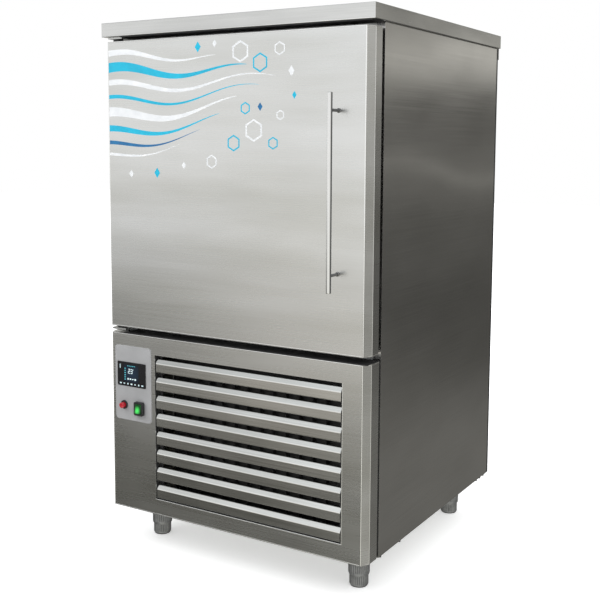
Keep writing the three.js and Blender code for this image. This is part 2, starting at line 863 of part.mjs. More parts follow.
// Inner door pan: flat rim for the gasket, raised field that enters the chamber mouth.
function makeDoorLiner() {
  const half = halfDoor - doorReturn - seatGap;
  const low = doorBottom + sheetThickness + seatGap;
  const high = doorTop - sheetThickness - seatGap;
  const front = doorThickness - sheetThickness;
  const rim = block([-half, half], [front, doorThickness], [low, high]);
  const field = (grow, from, to) => {
    const reach = chamberHalf - linerFieldInset + grow;
    const shape = roundedRectangle(
      [-reach, reach],
      [chamberBottom + linerFieldInset - grow, chamberTop - linerFieldInset + grow],
      linerFieldCorner,
    );
    const slope = to - from - 1;
    const slab = new THREE.ExtrudeGeometry(shape, {
      depth: 1,
      bevelThickness: slope,
      bevelSize: slope,
      bevelOffset: -slope,
      bevelSegments: 1,
      curveSegments: 3,
    });
    slab.applyMatrix4(new THREE.Matrix4()
      .makeBasis(vector(1, 0, 0), vector(0, 0, 1), vector(0, -1, 0))
      .setPosition(0, from + 1, 0));
    return solid(slab);
  };
  const top = doorThickness + linerFieldDepth;
  const raised = field(0, front + 1, top);
  const hollow = field(-sheetThickness, front, top - sheetThickness);
  const below = block([-half, half], [front - 2 * linerFieldDepth, front], [low, high]);
  addPart('door_liner', cut(join(rim, raised), hollow, below), polishedSteel);
}

// Magnet strip at the back, bellows and base at the front.
function makeGasket() {
  const start = doorThickness + seatGap;
  const end = cabinetFront - seatGap;
  const inner = chamberHalf + gasketInset;
  const low = chamberBottom - gasketInset;
  const high = chamberTop + gasketInset;
  const loop = (inset, width, from, to) => {
    const edge = inset + width;
    const whole = rectangle([-inner - edge, inner + edge], [low - edge, high + edge]);
    const mouth = rectangle([-inner - inset, inner + inset], [low - inset, high + inset]);
    return push(withHole(whole, mouth), 'Y', from, to);
  };
  const magnet = loop(2, gasketWidth - 4, end - magnetDepth, end);
  const bellows = loop(5, gasketWidth - 10, start + gasketBase - 1, end - magnetDepth + 1);
  const base = loop(0, gasketWidth, start, start + gasketBase);
  addPart('door_gasket', join(base, bellows, magnet), blackRubber);
}

// Plate with its pin, one under the worktop and one on the compartment rail.
function makeHinges() {
  const x = [hingeX - hingePlateWidth / 2 + 2, hingeX + hingePlateWidth / 2 + 2];
  const y = [hingeY - hingePlateFront, cabinetFront - seatGap];
  const upperTop = worktopBottom - seatGap;
  const upperPlate = block(x, y, [upperTop - hingePlateThickness, upperTop]);
  const axis = [hingeX, hingeY, 0];
  const upperPin = cylinder(hingePinRadius, doorTop - hingePinReach, upperTop - 1, round, axis);
  addPart('upper_hinge_bracket', join(upperPlate, upperPin), lightSteel);

  const lowerTop = panelTop + lowerHingeRise;
  const lowerPlate = block(x, y, [lowerTop - hingePlateThickness, lowerTop]);
  const flange = block(
    [Math.max(x[0], -innerWidth + 2), x[1]],
    [y[1] - hingePlateThickness, y[1]],
    [lowerTop - lowerHingeFlange, lowerTop],
  );
  const lowerPin = cylinder(hingePinRadius, lowerTop - 1, doorBottom + hingePinReach, round, axis);
  addPart('lower_hinge_bracket', join(lowerPlate, flange, lowerPin), lightSteel);

  const bore = hingePinRadius + hingeRunning;
  const wall = bore + hingeBushWall;
  const lowerBush = [
    [bore, lowerTop + seatGap],
    [hingeCollarRadius, lowerTop + seatGap],
    [hingeCollarRadius, doorBottom - seatGap],
    [wall, doorBottom - seatGap],
    [wall, doorBottom + hingePinReach + 2],
    [bore, doorBottom + hingePinReach + 2],
    [bore, lowerTop + seatGap],
  ];
  addPart('lower_hinge_bush', turned(lowerBush, round, axis), blackPlastic);
  const plateUnder = upperTop - hingePlateThickness - seatGap;
  const upperBush = [
    [bore, doorTop - hingePinReach - 2],
    [wall, doorTop - hingePinReach - 2],
    [wall, doorTop + seatGap],
    [hingeCollarRadius, doorTop + seatGap],
    [hingeCollarRadius, plateUnder],
    [bore, plateUnder],
    [bore, doorTop - hingePinReach - 2],
  ];
  addPart('upper_hinge_bush', turned(upperBush, round, axis), blackPlastic);
}

// Round bar on two posts.
function makeHandle() {
  const edge = 1.2;
  const axis = [handleX, -handleStandOff, 0];
  const bar = turned([
    [0, handleBottom],
    [handleRadius - edge, handleBottom],
    [handleRadius, handleBottom + edge],
    [handleRadius, handleTop - edge],
    [handleRadius - edge, handleTop],
    [0, handleTop],
  ], round, axis);
  addPart('handle_bar', bar, polishedSteel);
  const clear = cylinder(handleRadius + seatGap, handleBottom, handleTop, round, axis);
  const heights = {
    handle_post_lower: handleBottom + handlePostInset,
    handle_post_upper: handleTop - handlePostInset,
  };
  for (const [name, z] of Object.entries(heights)) {
    const post = turned([
      [0, -handleStandOff],
      [handlePostRadius, -handleStandOff],
      [handlePostRadius, -4],
      [handleBaseRadius, -2],
      [handleBaseRadius, -seatGap],
      [0, -seatGap],
    ], round, [handleX, 0, z], 'Y');
    addPart(name, cut(post, clear), polishedSteel);
  }
}

// ---- Lower front ----

// Folded pan with the grille opening and the cut-outs for the controls.
function makeFrontPanel() {
  const wall = push(
    bentSheet(panPath(halfPanel, lowerPanelDepth, lowerPanelReturn), sheetThickness),
    'Z',
    footHeight,
    panelTop,
  );
  const section = panSection(halfPanel, lowerPanelEnd);
  const ends = [
    push(section, 'Z', footHeight, footHeight + sheetThickness),
    push(section, 'Z', panelTop - sheetThickness, panelTop),
  ];
  const mouth = block([grilleLeft, grilleRight], [-1, grilleFlange + 1], [grilleBottom, grilleTop]);
  const flange = block(
    [grilleLeft - sheetThickness, grilleRight + sheetThickness],
    [sheetThickness / 2, grilleFlange],
    [grilleBottom - sheetThickness, grilleTop + sheetThickness],
  );
  addPart('front_panel', cut(join(wall, ...ends, flange), mouth, ...controlCuts(seatGap)), brushedSteel);
}

// What passes through the panel and its control plate.
function controlCuts(gap) {
  const through = [-plateThickness - 2, sheetThickness + 1];
  const halfDisplay = displayWidth / 2 - displayRim + gap;
  const highDisplay = displayHeight / 2 - displayRim + gap;
  const halfSwitch = switchWidth / 2 - switchRim + gap;
  const highSwitch = switchHeight / 2 - switchRim + gap;
  const window = (x, halfX, z, halfZ) => block([x - halfX, x + halfX], through, [z - halfZ, z + halfZ]);
  return [
    window(displayX, halfDisplay, displayZ, highDisplay),
    window(switchX, halfSwitch, switchZ, highSwitch),
    cylinder(buttonRadius + gap, ...through, round, [buttonX, 0, buttonZ], 'Y'),
  ];
}

// Folded blades on two rails, one piece that drops into the panel's opening.
function makeGrille() {
  const blades = [];
  for (let i = 0; i < bladeCount; i += 1) {
    const z = grilleBottom + bladeEndGap + i * bladePitch;
    const section = bentSheet([
      [bladeRecess + bladeLip, z],
      [bladeRecess, z],
      [bladeRecess, z + bladeFace],
      [bladeRecess + bladeRise, z + bladeFace + bladeRise],
      [bladeRecess + bladeRise + bladeLip, z + bladeFace + bladeRise],
    ], -bladeThickness);
    blades.push(push(section, 'X', grilleLeft + bladeEndGap, grilleRight - bladeEndGap));
  }
  const railFront = bladeRecess + bladeRise - 1;
  const rails = [grilleLeft + seatGap, grilleRight - seatGap - grilleRailWidth].map((x) => block(
    [x, x + grilleRailWidth],
    [railFront, railFront + grilleRailDepth],
    [grilleBottom + seatGap, grilleTop - seatGap],
  ));
  addPart('louvre_grille', join(...blades, ...rails), brushedSteel);
}

// Black strip between the lower panel and the cabinet, down both sides and along the bottom.
function makePanelSeal() {
  const y = [lowerPanelDepth + seatGap, cabinetFront - seatGap];
  const outer = halfPanel - 2;
  const inner = outer - 12;
  const low = footHeight + 2;
  const strips = [
    block([-outer, -inner], y, [low, panelTop - 2]),
    block([inner, outer], y, [low, panelTop - 2]),
    block([-outer, outer], y, [low, low + 12]),
  ];
  addPart('front_panel_seal', join(...strips), blackRubber);
}

function makeControls() {
  const plateBack = -seatGap;
  const plateFront = plateBack - plateThickness;
  const plateAcross = [plateLeft, plateLeft + plateWidth];
  const plateUp = [plateBottom, plateBottom + plateHeight];
  const plateShape = roundedRectangle(plateAcross, plateUp, plateCorner);
  const plate = push(plateShape, 'Y', plateFront, plateBack, 5);
  addPart('control_plate', cut(plate, ...controlCuts(seatGap)), lightSteel);

  const onPlate = plateFront - seatGap;
  const glass = push(
    roundedRectangle(
      [displayX - displayWidth / 2, displayX + displayWidth / 2],
      [displayZ - displayHeight / 2, displayZ + displayHeight / 2],
      3,
    ),
    'Y',
    onPlate - displayProud,
    onPlate,
    3,
  );
  const displayBody = block(
    [displayX - displayWidth / 2 + displayRim, displayX + displayWidth / 2 - displayRim],
    [onPlate - displayProud / 2, displayBodyDepth],
    [displayZ - displayHeight / 2 + displayRim, displayZ + displayHeight / 2 - displayRim],
  );
  addPart('display_module', join(glass, displayBody), glassBlack);

  const front = onPlate - switchProud;
  const bezel = join(
    push(
      roundedRectangle(
        [switchX - switchWidth / 2, switchX + switchWidth / 2],
        [switchZ - switchHeight / 2, switchZ + switchHeight / 2],
        4,
      ),
      'Y',
      front,
      onPlate,
      3,
    ),
    block(
      [switchX - switchWidth / 2 + switchRim, switchX + switchWidth / 2 - switchRim],
      [onPlate - 1, switchBodyDepth],
      [switchZ - switchHeight / 2 + switchRim, switchZ + switchHeight / 2 - switchRim],
    ),
  );
  const wellWidth = switchWidth / 2 - switchRim - 1;
  const wellHeight = switchHeight / 2 - switchRim - 0.5;
  const well = block(
    [switchX - wellWidth, switchX + wellWidth],
    [front - 1, front + 12],
    [switchZ - wellHeight, switchZ + wellHeight],
  );
  addPart('switch_bezel', cut(bezel, well), blackPlastic);

  // The rocker's two faces meet at a shallow angle over its pivot; it rests with its top
  // pressed in.
  const halfRocker = wellHeight - 1.2;
  const face = -rockerPivot - rockerProud;
  const lean = Math.tan((rockerTilt * Math.PI) / 180) * halfRocker;
  const level = push(outline([
    [3, 3 - halfRocker],
    [face, -halfRocker],
    [face + lean, 0],
    [face, halfRocker],
    [3, halfRocker - 3],
  ]), 'X', seatGap - wellWidth, wellWidth - seatGap);
  const rocker = level.rotate([-rockerTilt, 0, 0]).translate([switchX, front + rockerPivot, switchZ]);
  addPart('rocker_switch', rocker, greenLens);

  const collar = turned([
    [buttonRadius - 1, onPlate],
    [buttonRadius + collarWall, onPlate],
    [buttonRadius + collarWall, onPlate - collarProud + 1],
    [buttonRadius + collarWall - 1, onPlate - collarProud],
    [buttonRadius - 1, onPlate - collarProud],
    [buttonRadius - 1, onPlate],
  ].reverse(), round, [buttonX, 0, buttonZ], 'Y');
  addPart('button_collar', collar, blackPlastic);
  const cap = buttonRadius - 1 - seatGap;
  const buttonFront = onPlate - buttonProud;
  const button = turned([
    [0, buttonFront],
    [cap - 2, buttonFront + 0.4],
    [cap, buttonFront + 2],
    [cap, sheetThickness + 6],
    [0, sheetThickness + 6],
  ], round, [buttonX, 0, buttonZ], 'Y');
  addPart('reset_button', button, redPlastic);
}

// ---- Machine compartment ----

// Tray with turned-up edges, four corner posts and the front rail under the chamber.
function makeBaseFrame() {
  const half = skinInside - seatGap;
  const front = cabinetFront + sheetThickness + seatGap;
  const y = [front, foamBack];
  const tray = cut(
    block([-half, half], y, [trayBottom, trayBottom + trayEdge]),
    block(
      [-half + frameSheet, half - frameSheet],
      [front + frameSheet, foamBack - frameSheet],
      [trayFloor, trayBottom + trayEdge + 1],
    ),
  );
  const posts = [];
  for (const side of [-1, 1]) {
    for (const end of [-1, 1]) {
      const corner = end < 0 ? front : foamBack;
      const angle = outline([
        [side * half, corner],
        [side * (half - postWidth), corner],
        [side * (half - postWidth), corner - end * frameSheet],
        [side * (half - frameSheet), corner - end * frameSheet],
        [side * (half - frameSheet), corner - end * postWidth],
        [side * half, corner - end * postWidth],
      ]);
      posts.push(push(angle, 'Z', trayBottom + 1, frameTop));
    }
  }
  const railUp = [frameTop - railHeight, frameTop];
  const rail = block([-innerWidth, innerWidth], [cabinetFront, front + frameSheet], railUp);
  addPart('base_frame', join(tray, ...posts, rail), galvanised);
}

function makeCondenser() {
  const sides = [condenserX - condenserHalf, condenserX + condenserHalf];
  const coil = finPack(
    sides,
    [condenserFront, condenserBack],
    [standing, standing + condenserHeight],
    condenserFins,
    returnBends,
  );
  addPart('condenser_coil', coil, blackPaint);

  const y = [condenserBack + seatGap, condenserBack + seatGap + shroudDepth];
  const hole = condenserFanTip + fanTipGap;
  const hood = cut(
    block(sides, y, [standing, standing + condenserHeight]),
    block(
      [sides[0] + sheetThickness, sides[1] - sheetThickness],
      [y[0] - 1, y[1] - sheetThickness],
      [standing + sheetThickness, standing + condenserHeight - sheetThickness],
    ),
    cylinder(hole, y[0], y[1] + 1, wideRound, [condenserX, 0, condenserFanZ], 'Y'),
  );
  const place = [condenserX, 0, condenserFanZ];
  const inlet = ring(hole, hole + 2, y[1] - shroudInlet, y[1], wideRound, place, 'Y');
  addPart('condenser_shroud', join(hood, inlet), galvanised);

  const hubFront = y[1] - 14;
  const motor = fanMotor(condenserX, condenserFanZ, y[1], hole + 14, hubFront);
  addPart('condenser_fan_motor', motor, blackPaint);
  addPart(
    'condenser_fan',
    fanWheel(condenserX, condenserFanZ, hubFront, condenserFanTip, condenserFanHub),
    aluminium,
  );
}

// Hermetic can with its weld flange, mounting plate and terminal box.
function makeCompressor() {
  const base = compressorBase;
  const seam = base + compressorHeight * 0.42;
  const r = compressorRadius;
  const can = turned([
    [0, base],
    [r * 0.55, base],
    [r * 0.86, base + 16],
    [r, base + 48],
    [r, seam - 5],
    [r + 6, seam - 5],
    [r + 6, seam + 5],
    [r, seam + 5],
    [r * 0.97, base + compressorHeight * 0.72],
    [r * 0.8, base + compressorHeight * 0.9],
    [r * 0.45, compressorTop],
    [0, compressorTop],
  ], round, [compressorX, compressorY, 0]);
  const plate = block(
    [compressorX - r - 10, compressorX + r + 10],
    [compressorY - 60, compressorY + 60],
    [base - 4, base + 2],
  );
  const terminals = block(
    [compressorX - r - 18, compressorX - r * 0.7],
    [compressorY - 34, compressorY + 34],
    [seam + 12, seam + 72],
  );
  const stubTop = compressorTop + suctionRise;
  const stub = cylinder(pipeRadius + 2, seam + 40, stubTop, smallRound, [...suctionStub, 0]);
  const mounts = [];
  for (const sx of [-1, 1]) {
    for (const sy of [-1, 1]) {
      const place = [compressorX + sx * (r - 2), compressorY + sy * 46, 0];
      mounts.push(cylinder(11, standing, base - 3, smallRound, place));
    }
  }
  addPart('compressor', join(can, plate, terminals, stub, ...mounts), blackPaint);
}

function makeReceiver() {
  const r = receiverRadius;
  const base = receiverBase;
  const top = receiverTop;
  const place = [receiverX, receiverY, 0];
  const shell = turned([
    [0, base],
    [r * 0.6, base + 4],
    [r, base + 28],
    [r, top - 28],
    [r * 0.6, top - 4],
    [0, top],
  ], round, place);
  const skirt = ring(r * 0.5, r * 0.62, standing, base + 10, smallRound, place);
  addPart('liquid_receiver', join(shell, skirt), blackPaint);
}

// Where the two pipes to the evaporator pass the chamber floor.
function floorPasses() {
  const y = evaporatorFront + evaporatorDepth / 2;
  return [[evaporatorHalf - suctionPassInset, y], [evaporatorHalf - feedPassInset, y]];
}

function pipeHoles() {
  return floorPasses().map(([x, y]) => cylinder(
    pipeRadius + seatGap * 2,
    foamBottom - 1,
    chamberBottom + 3,
    smallRound,
    [x, y, 0],
  ));
}

function makePipes() {
  const [suctionAt, feedAt] = floorPasses();
  const coilUnder = evaporatorBottom - seatGap;
  const outletX = condenserX + condenserHalf + bendReach + 2;
  const middle = (condenserFront + condenserBack) / 2;
  const copperRun = (name, points, steps) => addPart(name, pipe(points, pipeRadius, steps), copper);
  copperRun('discharge_pipe', [
    [compressorX, compressorY, compressorTop + seatGap],
    [compressorX, compressorY, compressorTop + pipeRun],
    [compressorX + pipeRun, compressorY - pipeRun, compressorTop + pipeRun + pipeLead],
    [outletX, condenserBack + 2 * pipeRun + pipeLead, compressorTop + pipeRun + pipeLead],
    [outletX, middle + 2 * pipeLead, standing + condenserHeight - 2 * pipeLead],
    [outletX, middle + 4, standing + condenserHeight - 2 * pipeLead],
  ], 24);
  copperRun('suction_pipe', [
    [suctionAt[0], suctionAt[1], coilUnder],
    [suctionAt[0], suctionAt[1], foamBottom - pipeLead],
    [suctionAt[0], suctionAt[1], foamBottom - pipeRun],
    [suctionStub[0], suctionStub[1], compressorTop + pipeRun + suctionRise],
    [suctionStub[0], suctionStub[1], compressorTop + suctionRise + seatGap],
  ], 24);
  copperRun('feed_pipe', [
    [receiverX, receiverY, receiverTop + seatGap],
    [receiverX, receiverY, receiverTop + pipeRun],
    [feedAt[0] - 2 * pipeLead, feedAt[1], foamBottom - 2 * pipeRun],
    [feedAt[0], feedAt[1], foamBottom - pipeRun],
    [feedAt[0], feedAt[1], foamBottom - pipeLead],
    [feedAt[0], feedAt[1], coilUnder],
  ], 24);
}

// Shallow pan that catches the defrost water.
function makeCondensate() {
  const x = [dripTrayX - dripTrayWidth / 2, dripTrayX + dripTrayWidth / 2];
  const y = [dripTrayY - dripTrayDepth / 2, dripTrayY + dripTrayDepth / 2];
  const pan = cut(
    push(roundedRectangle(x, y, 16), 'Z', standing, standing + dripTrayHeight, 4),
    push(
      roundedRectangle([x[0] + 2, x[1] - 2], [y[0] + 2, y[1] - 2], 14),
      'Z',
      standing + 2,
      standing + dripTrayHeight + 1,
      4,
    ),
  );
  addPart('condensate_tray', pan, greyPlastic);
  const low = standing + 2 + seatGap;
  const high = chamberBottom - seatGap;
  const tube = ring(drainRadius - 2, drainRadius, low, high, smallRound, drainPlace);
  addPart('drain_pipe', tube, greyPlastic);
}

// Sheet-metal box for the relays, on the left side panel behind the controls.
function makeControlBox() {
  const x = [-skinInside + seatGap, -skinInside + seatGap + boxWidth];
  const front = cabinetFront + postWidth + 6;
  const y = [front, front + boxDepth];
  const z = [frameTop - boxDrop - boxHeight, frameTop - boxDrop];
  const shell = block(x, y, z);
  const lid = block([x[1], x[1] + 2], [y[0] - 3, y[1] + 3], [z[0] - 3, z[1] + 3]);
  addPart('control_box', join(shell, lid), lightSteel);
}

// ---- Feet ----

function makeFeet() {
  const footX = halfBody - footInset;
  const rearFootY = bodyDepth - rearFootInset;
  const places = {
    front_left: [-footX, frontFootY],
    front_right: [footX, frontFootY],
    rear_left: [-footX, rearFootY],
    rear_right: [footX, rearFootY],
  };
  const top = trayBottom - seatGap;
  const mouth = top - sleeveLength;
  const bore = footRadius + footRunning;
  const ceiling = mouth + footEngagement + seatGap;
  const sleeve = [
    [bore, mouth],
    [sleeveRadius - 1.5, mouth],
    [sleeveRadius, mouth + 4],
    [sleeveRadius, top],
    [0, top],
    [0, ceiling],
    [bore, ceiling],
    [bore, mouth],
  ];
  const foot = [
    [0, 0],
    [footRadius - 3, 0],
    [footRadius, 3],
    [footRadius, mouth + footEngagement],
    [0, mouth + footEngagement],
  ];
  for (const [name, [x, y]] of Object.entries(places)) {
    addPart(`foot_sleeve_${name}`, turned(sleeve, round, [x, y, 0]), greyPlastic);
    addPart(`foot_${name}`, turned(foot, round, [x, y, 0]), greyRubber);
  }
}

makeWorktop();
makeSidePanels();
makeBackPanel();
makeRearVentPanel();
makeCableGland();
makeInsulation();
makeLiner();
makeFrontFrame();
makeTrayRacks();
makeBaffle();
makeEvaporator();
makeEvaporatorFans();
makeDoorSkin();
makeDoorInsulation();
makeDoorLiner();
makeGasket();
makeHinges();
makeHandle();
makeFrontPanel();
makePanelSeal();
makeGrille();
makeControls();
makeBaseFrame();
makeCondenser();
makeCompressor();
makeReceiver();
makePipes();
makeCondensate();
makeControlBox();
makeFeet();

// The origin is on the floor, under the middle of the whole outline from handle to gland.
const frontMost = -handleStandOff - handleRadius;
const rearMost = bodyDepth + Math.max(glandReach, worktopTabDepth);
cabinet.position.y = -(frontMost + rearMost) / 2;

const blastChiller = new THREE.Group();
blastChiller.add(cabinet);

export default blastChiller;
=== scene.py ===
import json
import math

import bmesh
import bpy
import numpy as np
from mathutils import Matrix, Vector

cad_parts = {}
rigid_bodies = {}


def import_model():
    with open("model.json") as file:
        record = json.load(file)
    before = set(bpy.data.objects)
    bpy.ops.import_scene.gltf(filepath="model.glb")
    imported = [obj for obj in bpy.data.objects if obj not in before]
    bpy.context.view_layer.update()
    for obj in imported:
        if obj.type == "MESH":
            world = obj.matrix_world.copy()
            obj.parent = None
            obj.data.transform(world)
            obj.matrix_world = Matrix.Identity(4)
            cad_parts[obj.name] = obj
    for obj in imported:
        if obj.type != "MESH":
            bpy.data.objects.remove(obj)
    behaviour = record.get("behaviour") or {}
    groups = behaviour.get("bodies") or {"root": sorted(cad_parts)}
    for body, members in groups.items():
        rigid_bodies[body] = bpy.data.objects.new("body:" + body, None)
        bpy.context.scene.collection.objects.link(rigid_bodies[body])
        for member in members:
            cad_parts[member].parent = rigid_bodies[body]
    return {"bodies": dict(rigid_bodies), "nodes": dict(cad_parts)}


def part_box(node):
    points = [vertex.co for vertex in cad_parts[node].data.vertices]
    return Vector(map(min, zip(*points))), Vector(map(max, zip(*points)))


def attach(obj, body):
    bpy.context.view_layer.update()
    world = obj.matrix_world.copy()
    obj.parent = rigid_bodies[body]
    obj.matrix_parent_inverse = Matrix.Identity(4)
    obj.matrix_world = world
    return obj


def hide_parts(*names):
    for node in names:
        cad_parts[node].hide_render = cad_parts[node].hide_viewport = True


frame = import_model()
kept = set(frame["nodes"].values()) | set(frame["bodies"].values())
for extra in [o for o in bpy.context.scene.objects if o not in kept]:
    bpy.data.objects.remove(extra)
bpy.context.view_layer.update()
mm = 0.001
leastCorner = 0.3 * mm


# A shape is its points and a list of face arrays, all in metres.


def joined(*shapes):
    points, faces, start = [], [], 0
    for p, groups in shapes:
        points.append(p)
        faces += [g + start for g in groups]
        start += len(p)
    return np.concatenate(points), faces


# Quads between the rows and columns of a grid of points.
def quads(rows, columns, closedRows=False):
    r = np.arange(rows if closedRows else rows - 1)
    r, c = np.meshgrid(r, np.arange(columns), indexing="ij")
    nextR, nextC = (r + 1) % rows, (c + 1) % columns
    corners = [r * columns + c, nextR * columns + c, nextR * columns + nextC, r * columns + nextC]
    return np.stack(corners, -1).reshape(-1, 4)


# Rings round a piece, one after another, with a fan at each open end.
def skin(rings, closedAlong=False):
    rows, columns = rings.shape[:2]
    points, faces = rings.reshape(-1, 3), [quads(rows, columns, closedAlong)]
    if closedAlong:
        return points, faces
    c = np.arange(columns)
    last = (rows - 1) * columns
    firstTip, lastTip = np.full(columns, rows * columns), np.full(columns, rows * columns + 1)
    points = np.concatenate([points, rings[0].mean(0)[None], rings[-1].mean(0)[None]])
    faces.append(np.stack([(c + 1) % columns, c, firstTip], -1))
    faces.append(np.stack([last + c, last + (c + 1) % columns, lastTip], -1))
    return points, faces


# A loop in two of the axes, drawn along the third one through the stations.
def drawn(loop, stations, axis):
    loop = np.asarray(loop, float)
    grid = np.empty((len(stations), len(loop), 3))
    grid[..., [k for k in range(3) if k != axis]] = loop[None]
    grid[..., axis] = np.asarray(stations, float)[:, None]
    return grid


# Every corner of a path drawn round: (1-s)^2 start + 2s(1-s) corner + s^2 end.
def softened(path, reach, steps=4, most=0.48):
    p = np.asarray(path, float)
    reach = np.broadcast_to(np.asarray(reach, float), len(p))[:, None]
    back, on = np.roll(p, 1, 0) - p, np.roll(p, -1, 0) - p
    backLength = np.linalg.norm(back, axis=1, keepdims=True)
    onLength = np.linalg.norm(on, axis=1, keepdims=True)
    reach = np.minimum(reach, most * np.minimum(backLength, onLength))
    start, end = p + back / backLength * reach, p + on / onLength * reach
    s = np.linspace(0, 1, steps + 1)[None, :, None]
    curve = (1 - s) ** 2 * start[:, None] + 2 * s * (1 - s) * p[:, None] + s**2 * end[:, None]
    return np.concatenate([p[:1], curve[1:-1].reshape(-1, p.shape[1]), p[-1:]])


# Flats stay flat beside a bend: points added just inside both ends of each long stretch.
def held(path, near=0.4 * mm, longest=3 * mm):
    p = np.asarray(path, float)
    on = p[1:] - p[:-1]
    length = np.linalg.norm(on[:, :2], axis=1)[:, None]
    step = on * near / np.maximum(length, 1e-9)
    isLong = length[:, 0] > longest
    points = np.stack([p[:-1], p[:-1] + step, p[1:] - step], 1)
    keep = np.stack([np.ones(len(on), bool), isLong, isLong], 1)
    return np.concatenate([points[keep], p[-1:]])


def quarter(steps):
    return np.linspace(0, np.pi / 2, steps + 1)


# Rounded edge of (radius, height): radius - e (1 - cos t), start + e (1 - sin t).
def roundedRim(radius, start, edge, steps=4):
    t = quarter(steps)
    return np.stack([radius - edge * (1 - np.cos(t)), start + edge * (1 - np.sin(t))], -1)


# The same, drawn from the flat out: radius - e (1 - sin t), start + e (1 - cos t).
def roundedEnd(radius, start, edge, steps=4):
    t = quarter(steps)
    return np.stack([radius - edge * (1 - np.sin(t)), start + edge * (1 - np.cos(t))], -1)


axisOrder = {"X": (2, 0, 1), "Y": (0, 2, 1), "Z": (0, 1, 2)}


# A profile of (radius, height) turned once: r cos a, r sin a, h. Flutes draw the radius in by
# d ((1 - cos na) / 2)^2 where the profile's third column says so.
def turned(profile, place, axis="Z", steps=48, flutes=0, fluteDepth=0.0, closed=False):
    profile = held(profile)
    a = np.linspace(0, 2 * np.pi, steps, endpoint=False)[None, :]
    r, h = profile[:, :1], profile[:, 1:2]
    share = profile[:, 2:3] if profile.shape[1] > 2 else 0 * h
    r = r - share * fluteDepth * ((1 - np.cos(flutes * a)) / 2) ** 2
    grid = np.stack([r * np.cos(a), r * np.sin(a), h + 0 * a], -1)[..., axisOrder[axis]]
    return skin(grid + np.asarray(place, float), closed)


# Rows of a profile from a table of (cut in mm, distance along in mm, share of the flutes).
def profileRows(table, radius, start, way=1):
    return [(radius - cut * mm, start + way * along * mm, share) for cut, along, share in table]


# Stack of rounded rectangles facing -Y: each step is (inset, y), drawn in from the outline, its
# corner the outline's less the inset: centre + sign (half - inset - arc) + arc (cos a, sin a).
def stacked(centre, size, corner, levels, steps=6, relief=None, closed=False):
    a = quarter(steps)
    a = (a[None, :] + np.arange(4)[:, None] * np.pi / 2).ravel()
    out = np.stack([np.cos(a), np.sin(a)], -1)
    signs = np.repeat([[1, 1], [-1, 1], [-1, -1], [1, -1]], steps + 1, axis=0)
    levels = np.asarray(levels, float)
    inset = levels[:, :1, None]
    arc = np.maximum(corner - inset, leastCorner)
    flat = signs * (np.array(size) / 2 - inset - arc) + arc * out
    y = np.broadcast_to(levels[:, 1:2], flat.shape[:2])
    if relief:
        y = y + relief(flat[..., 0], flat[..., 1])
    grid = np.stack([centre[0] + flat[..., 0], y, centre[1] + flat[..., 1]], -1)
    return skin(grid, closed)


# Steps of a rounded edge from y back to y front: a rim drawn in, and a ring that holds the flat.
def edgeLevels(back, front, edge, hold=0.3 * mm):
    rounded = roundedRim(0, front, edge) * [-1, 1]
    return np.concatenate([[[0, back]], rounded, [[edge + hold, front]]])


# Folded sheet: the path in (y, z) is moved by its own thickness along its normals, then drawn
# along x.
def foldedSheet(path, thickness, along):
    step = np.gradient(path, axis=0)
    step /= np.linalg.norm(step, axis=1, keepdims=True)
    inner = path + thickness * np.stack([-step[:, 1], step[:, 0]], -1)
    loop = np.concatenate([path, inner[::-1]])
    n, columns = len(path), len(loop)
    k = np.arange(n - 1)
    end = np.stack([k, k + 1, columns - 2 - k, columns - 1 - k], -1)
    last = (len(along) - 1) * columns
    grid = drawn(loop, along, 0)
    return grid.reshape(-1, 3), [quads(len(along), columns), end[:, ::-1], end + last]


def turnAbout(shape, axis, angle, centre):
    points, faces = shape
    turn = np.array(Matrix.Rotation(angle, 3, axis))
    return (points - centre) @ turn.T + centre, faces


def moved(shape, offset):
    return shape[0] + np.asarray(offset, float), shape[1]


# Both corners of a solid's box, its middle and its size.
def boxOf(name):
    low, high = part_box(name)
    return low, high, [(a + b) / 2 for a, b in zip(low, high)], [b - a for a, b in zip(low, high)]


# Makes a shape an object on a body. Its slot is named as its look.
def addPiece(name, shape, look, body, stands="", sharp=35):
    points, groups = shape
    mesh = bpy.data.meshes.new(name)
    sizes = np.concatenate([np.full(len(g), g.shape[1]) for g in groups])
    corners = np.concatenate([g.ravel() for g in groups])
    mesh.vertices.add(len(points))
    mesh.vertices.foreach_set("co", points.astype(np.float32).ravel())
    mesh.loops.add(int(sizes.sum()))
    mesh.loops.foreach_set("vertex_index", corners.astype(np.int32))
    mesh.polygons.add(len(sizes))
    mesh.polygons.foreach_set("loop_start", (np.cumsum(sizes) - sizes).astype(np.int32))
    mesh.update(calc_edges=True)
    mesh.validate()
    outward = bmesh.new()
    outward.from_mesh(mesh)
    bmesh.ops.recalc_face_normals(outward, faces=outward.faces)
    outward.to_mesh(mesh)
    outward.free()
    mesh.polygons.foreach_set("use_smooth", np.ones(len(mesh.polygons), bool))
    mesh.set_sharp_from_angle(angle=math.radians(sharp))
    mesh.materials.append(looks[look])
    piece = linked(name, mesh)
    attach(piece, body)
    if stands:
        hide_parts(stands)
    return piece


# An object in the scene.
def linked(name, data):
    made = bpy.data.objects.new(name, data)
    bpy.context.scene.collection.objects.link(made)
    return made


camera = {
    "place": (1.3686, -2.2931, 1.0722),
    "turn": 0.5498,  # radians from +Y towards -X
    "tilt": -0.1069,
    "roll": 0.004,
    "lens": 58.42,
    "sensor": 36,
    "shift": (0.0077, -0.085),
}


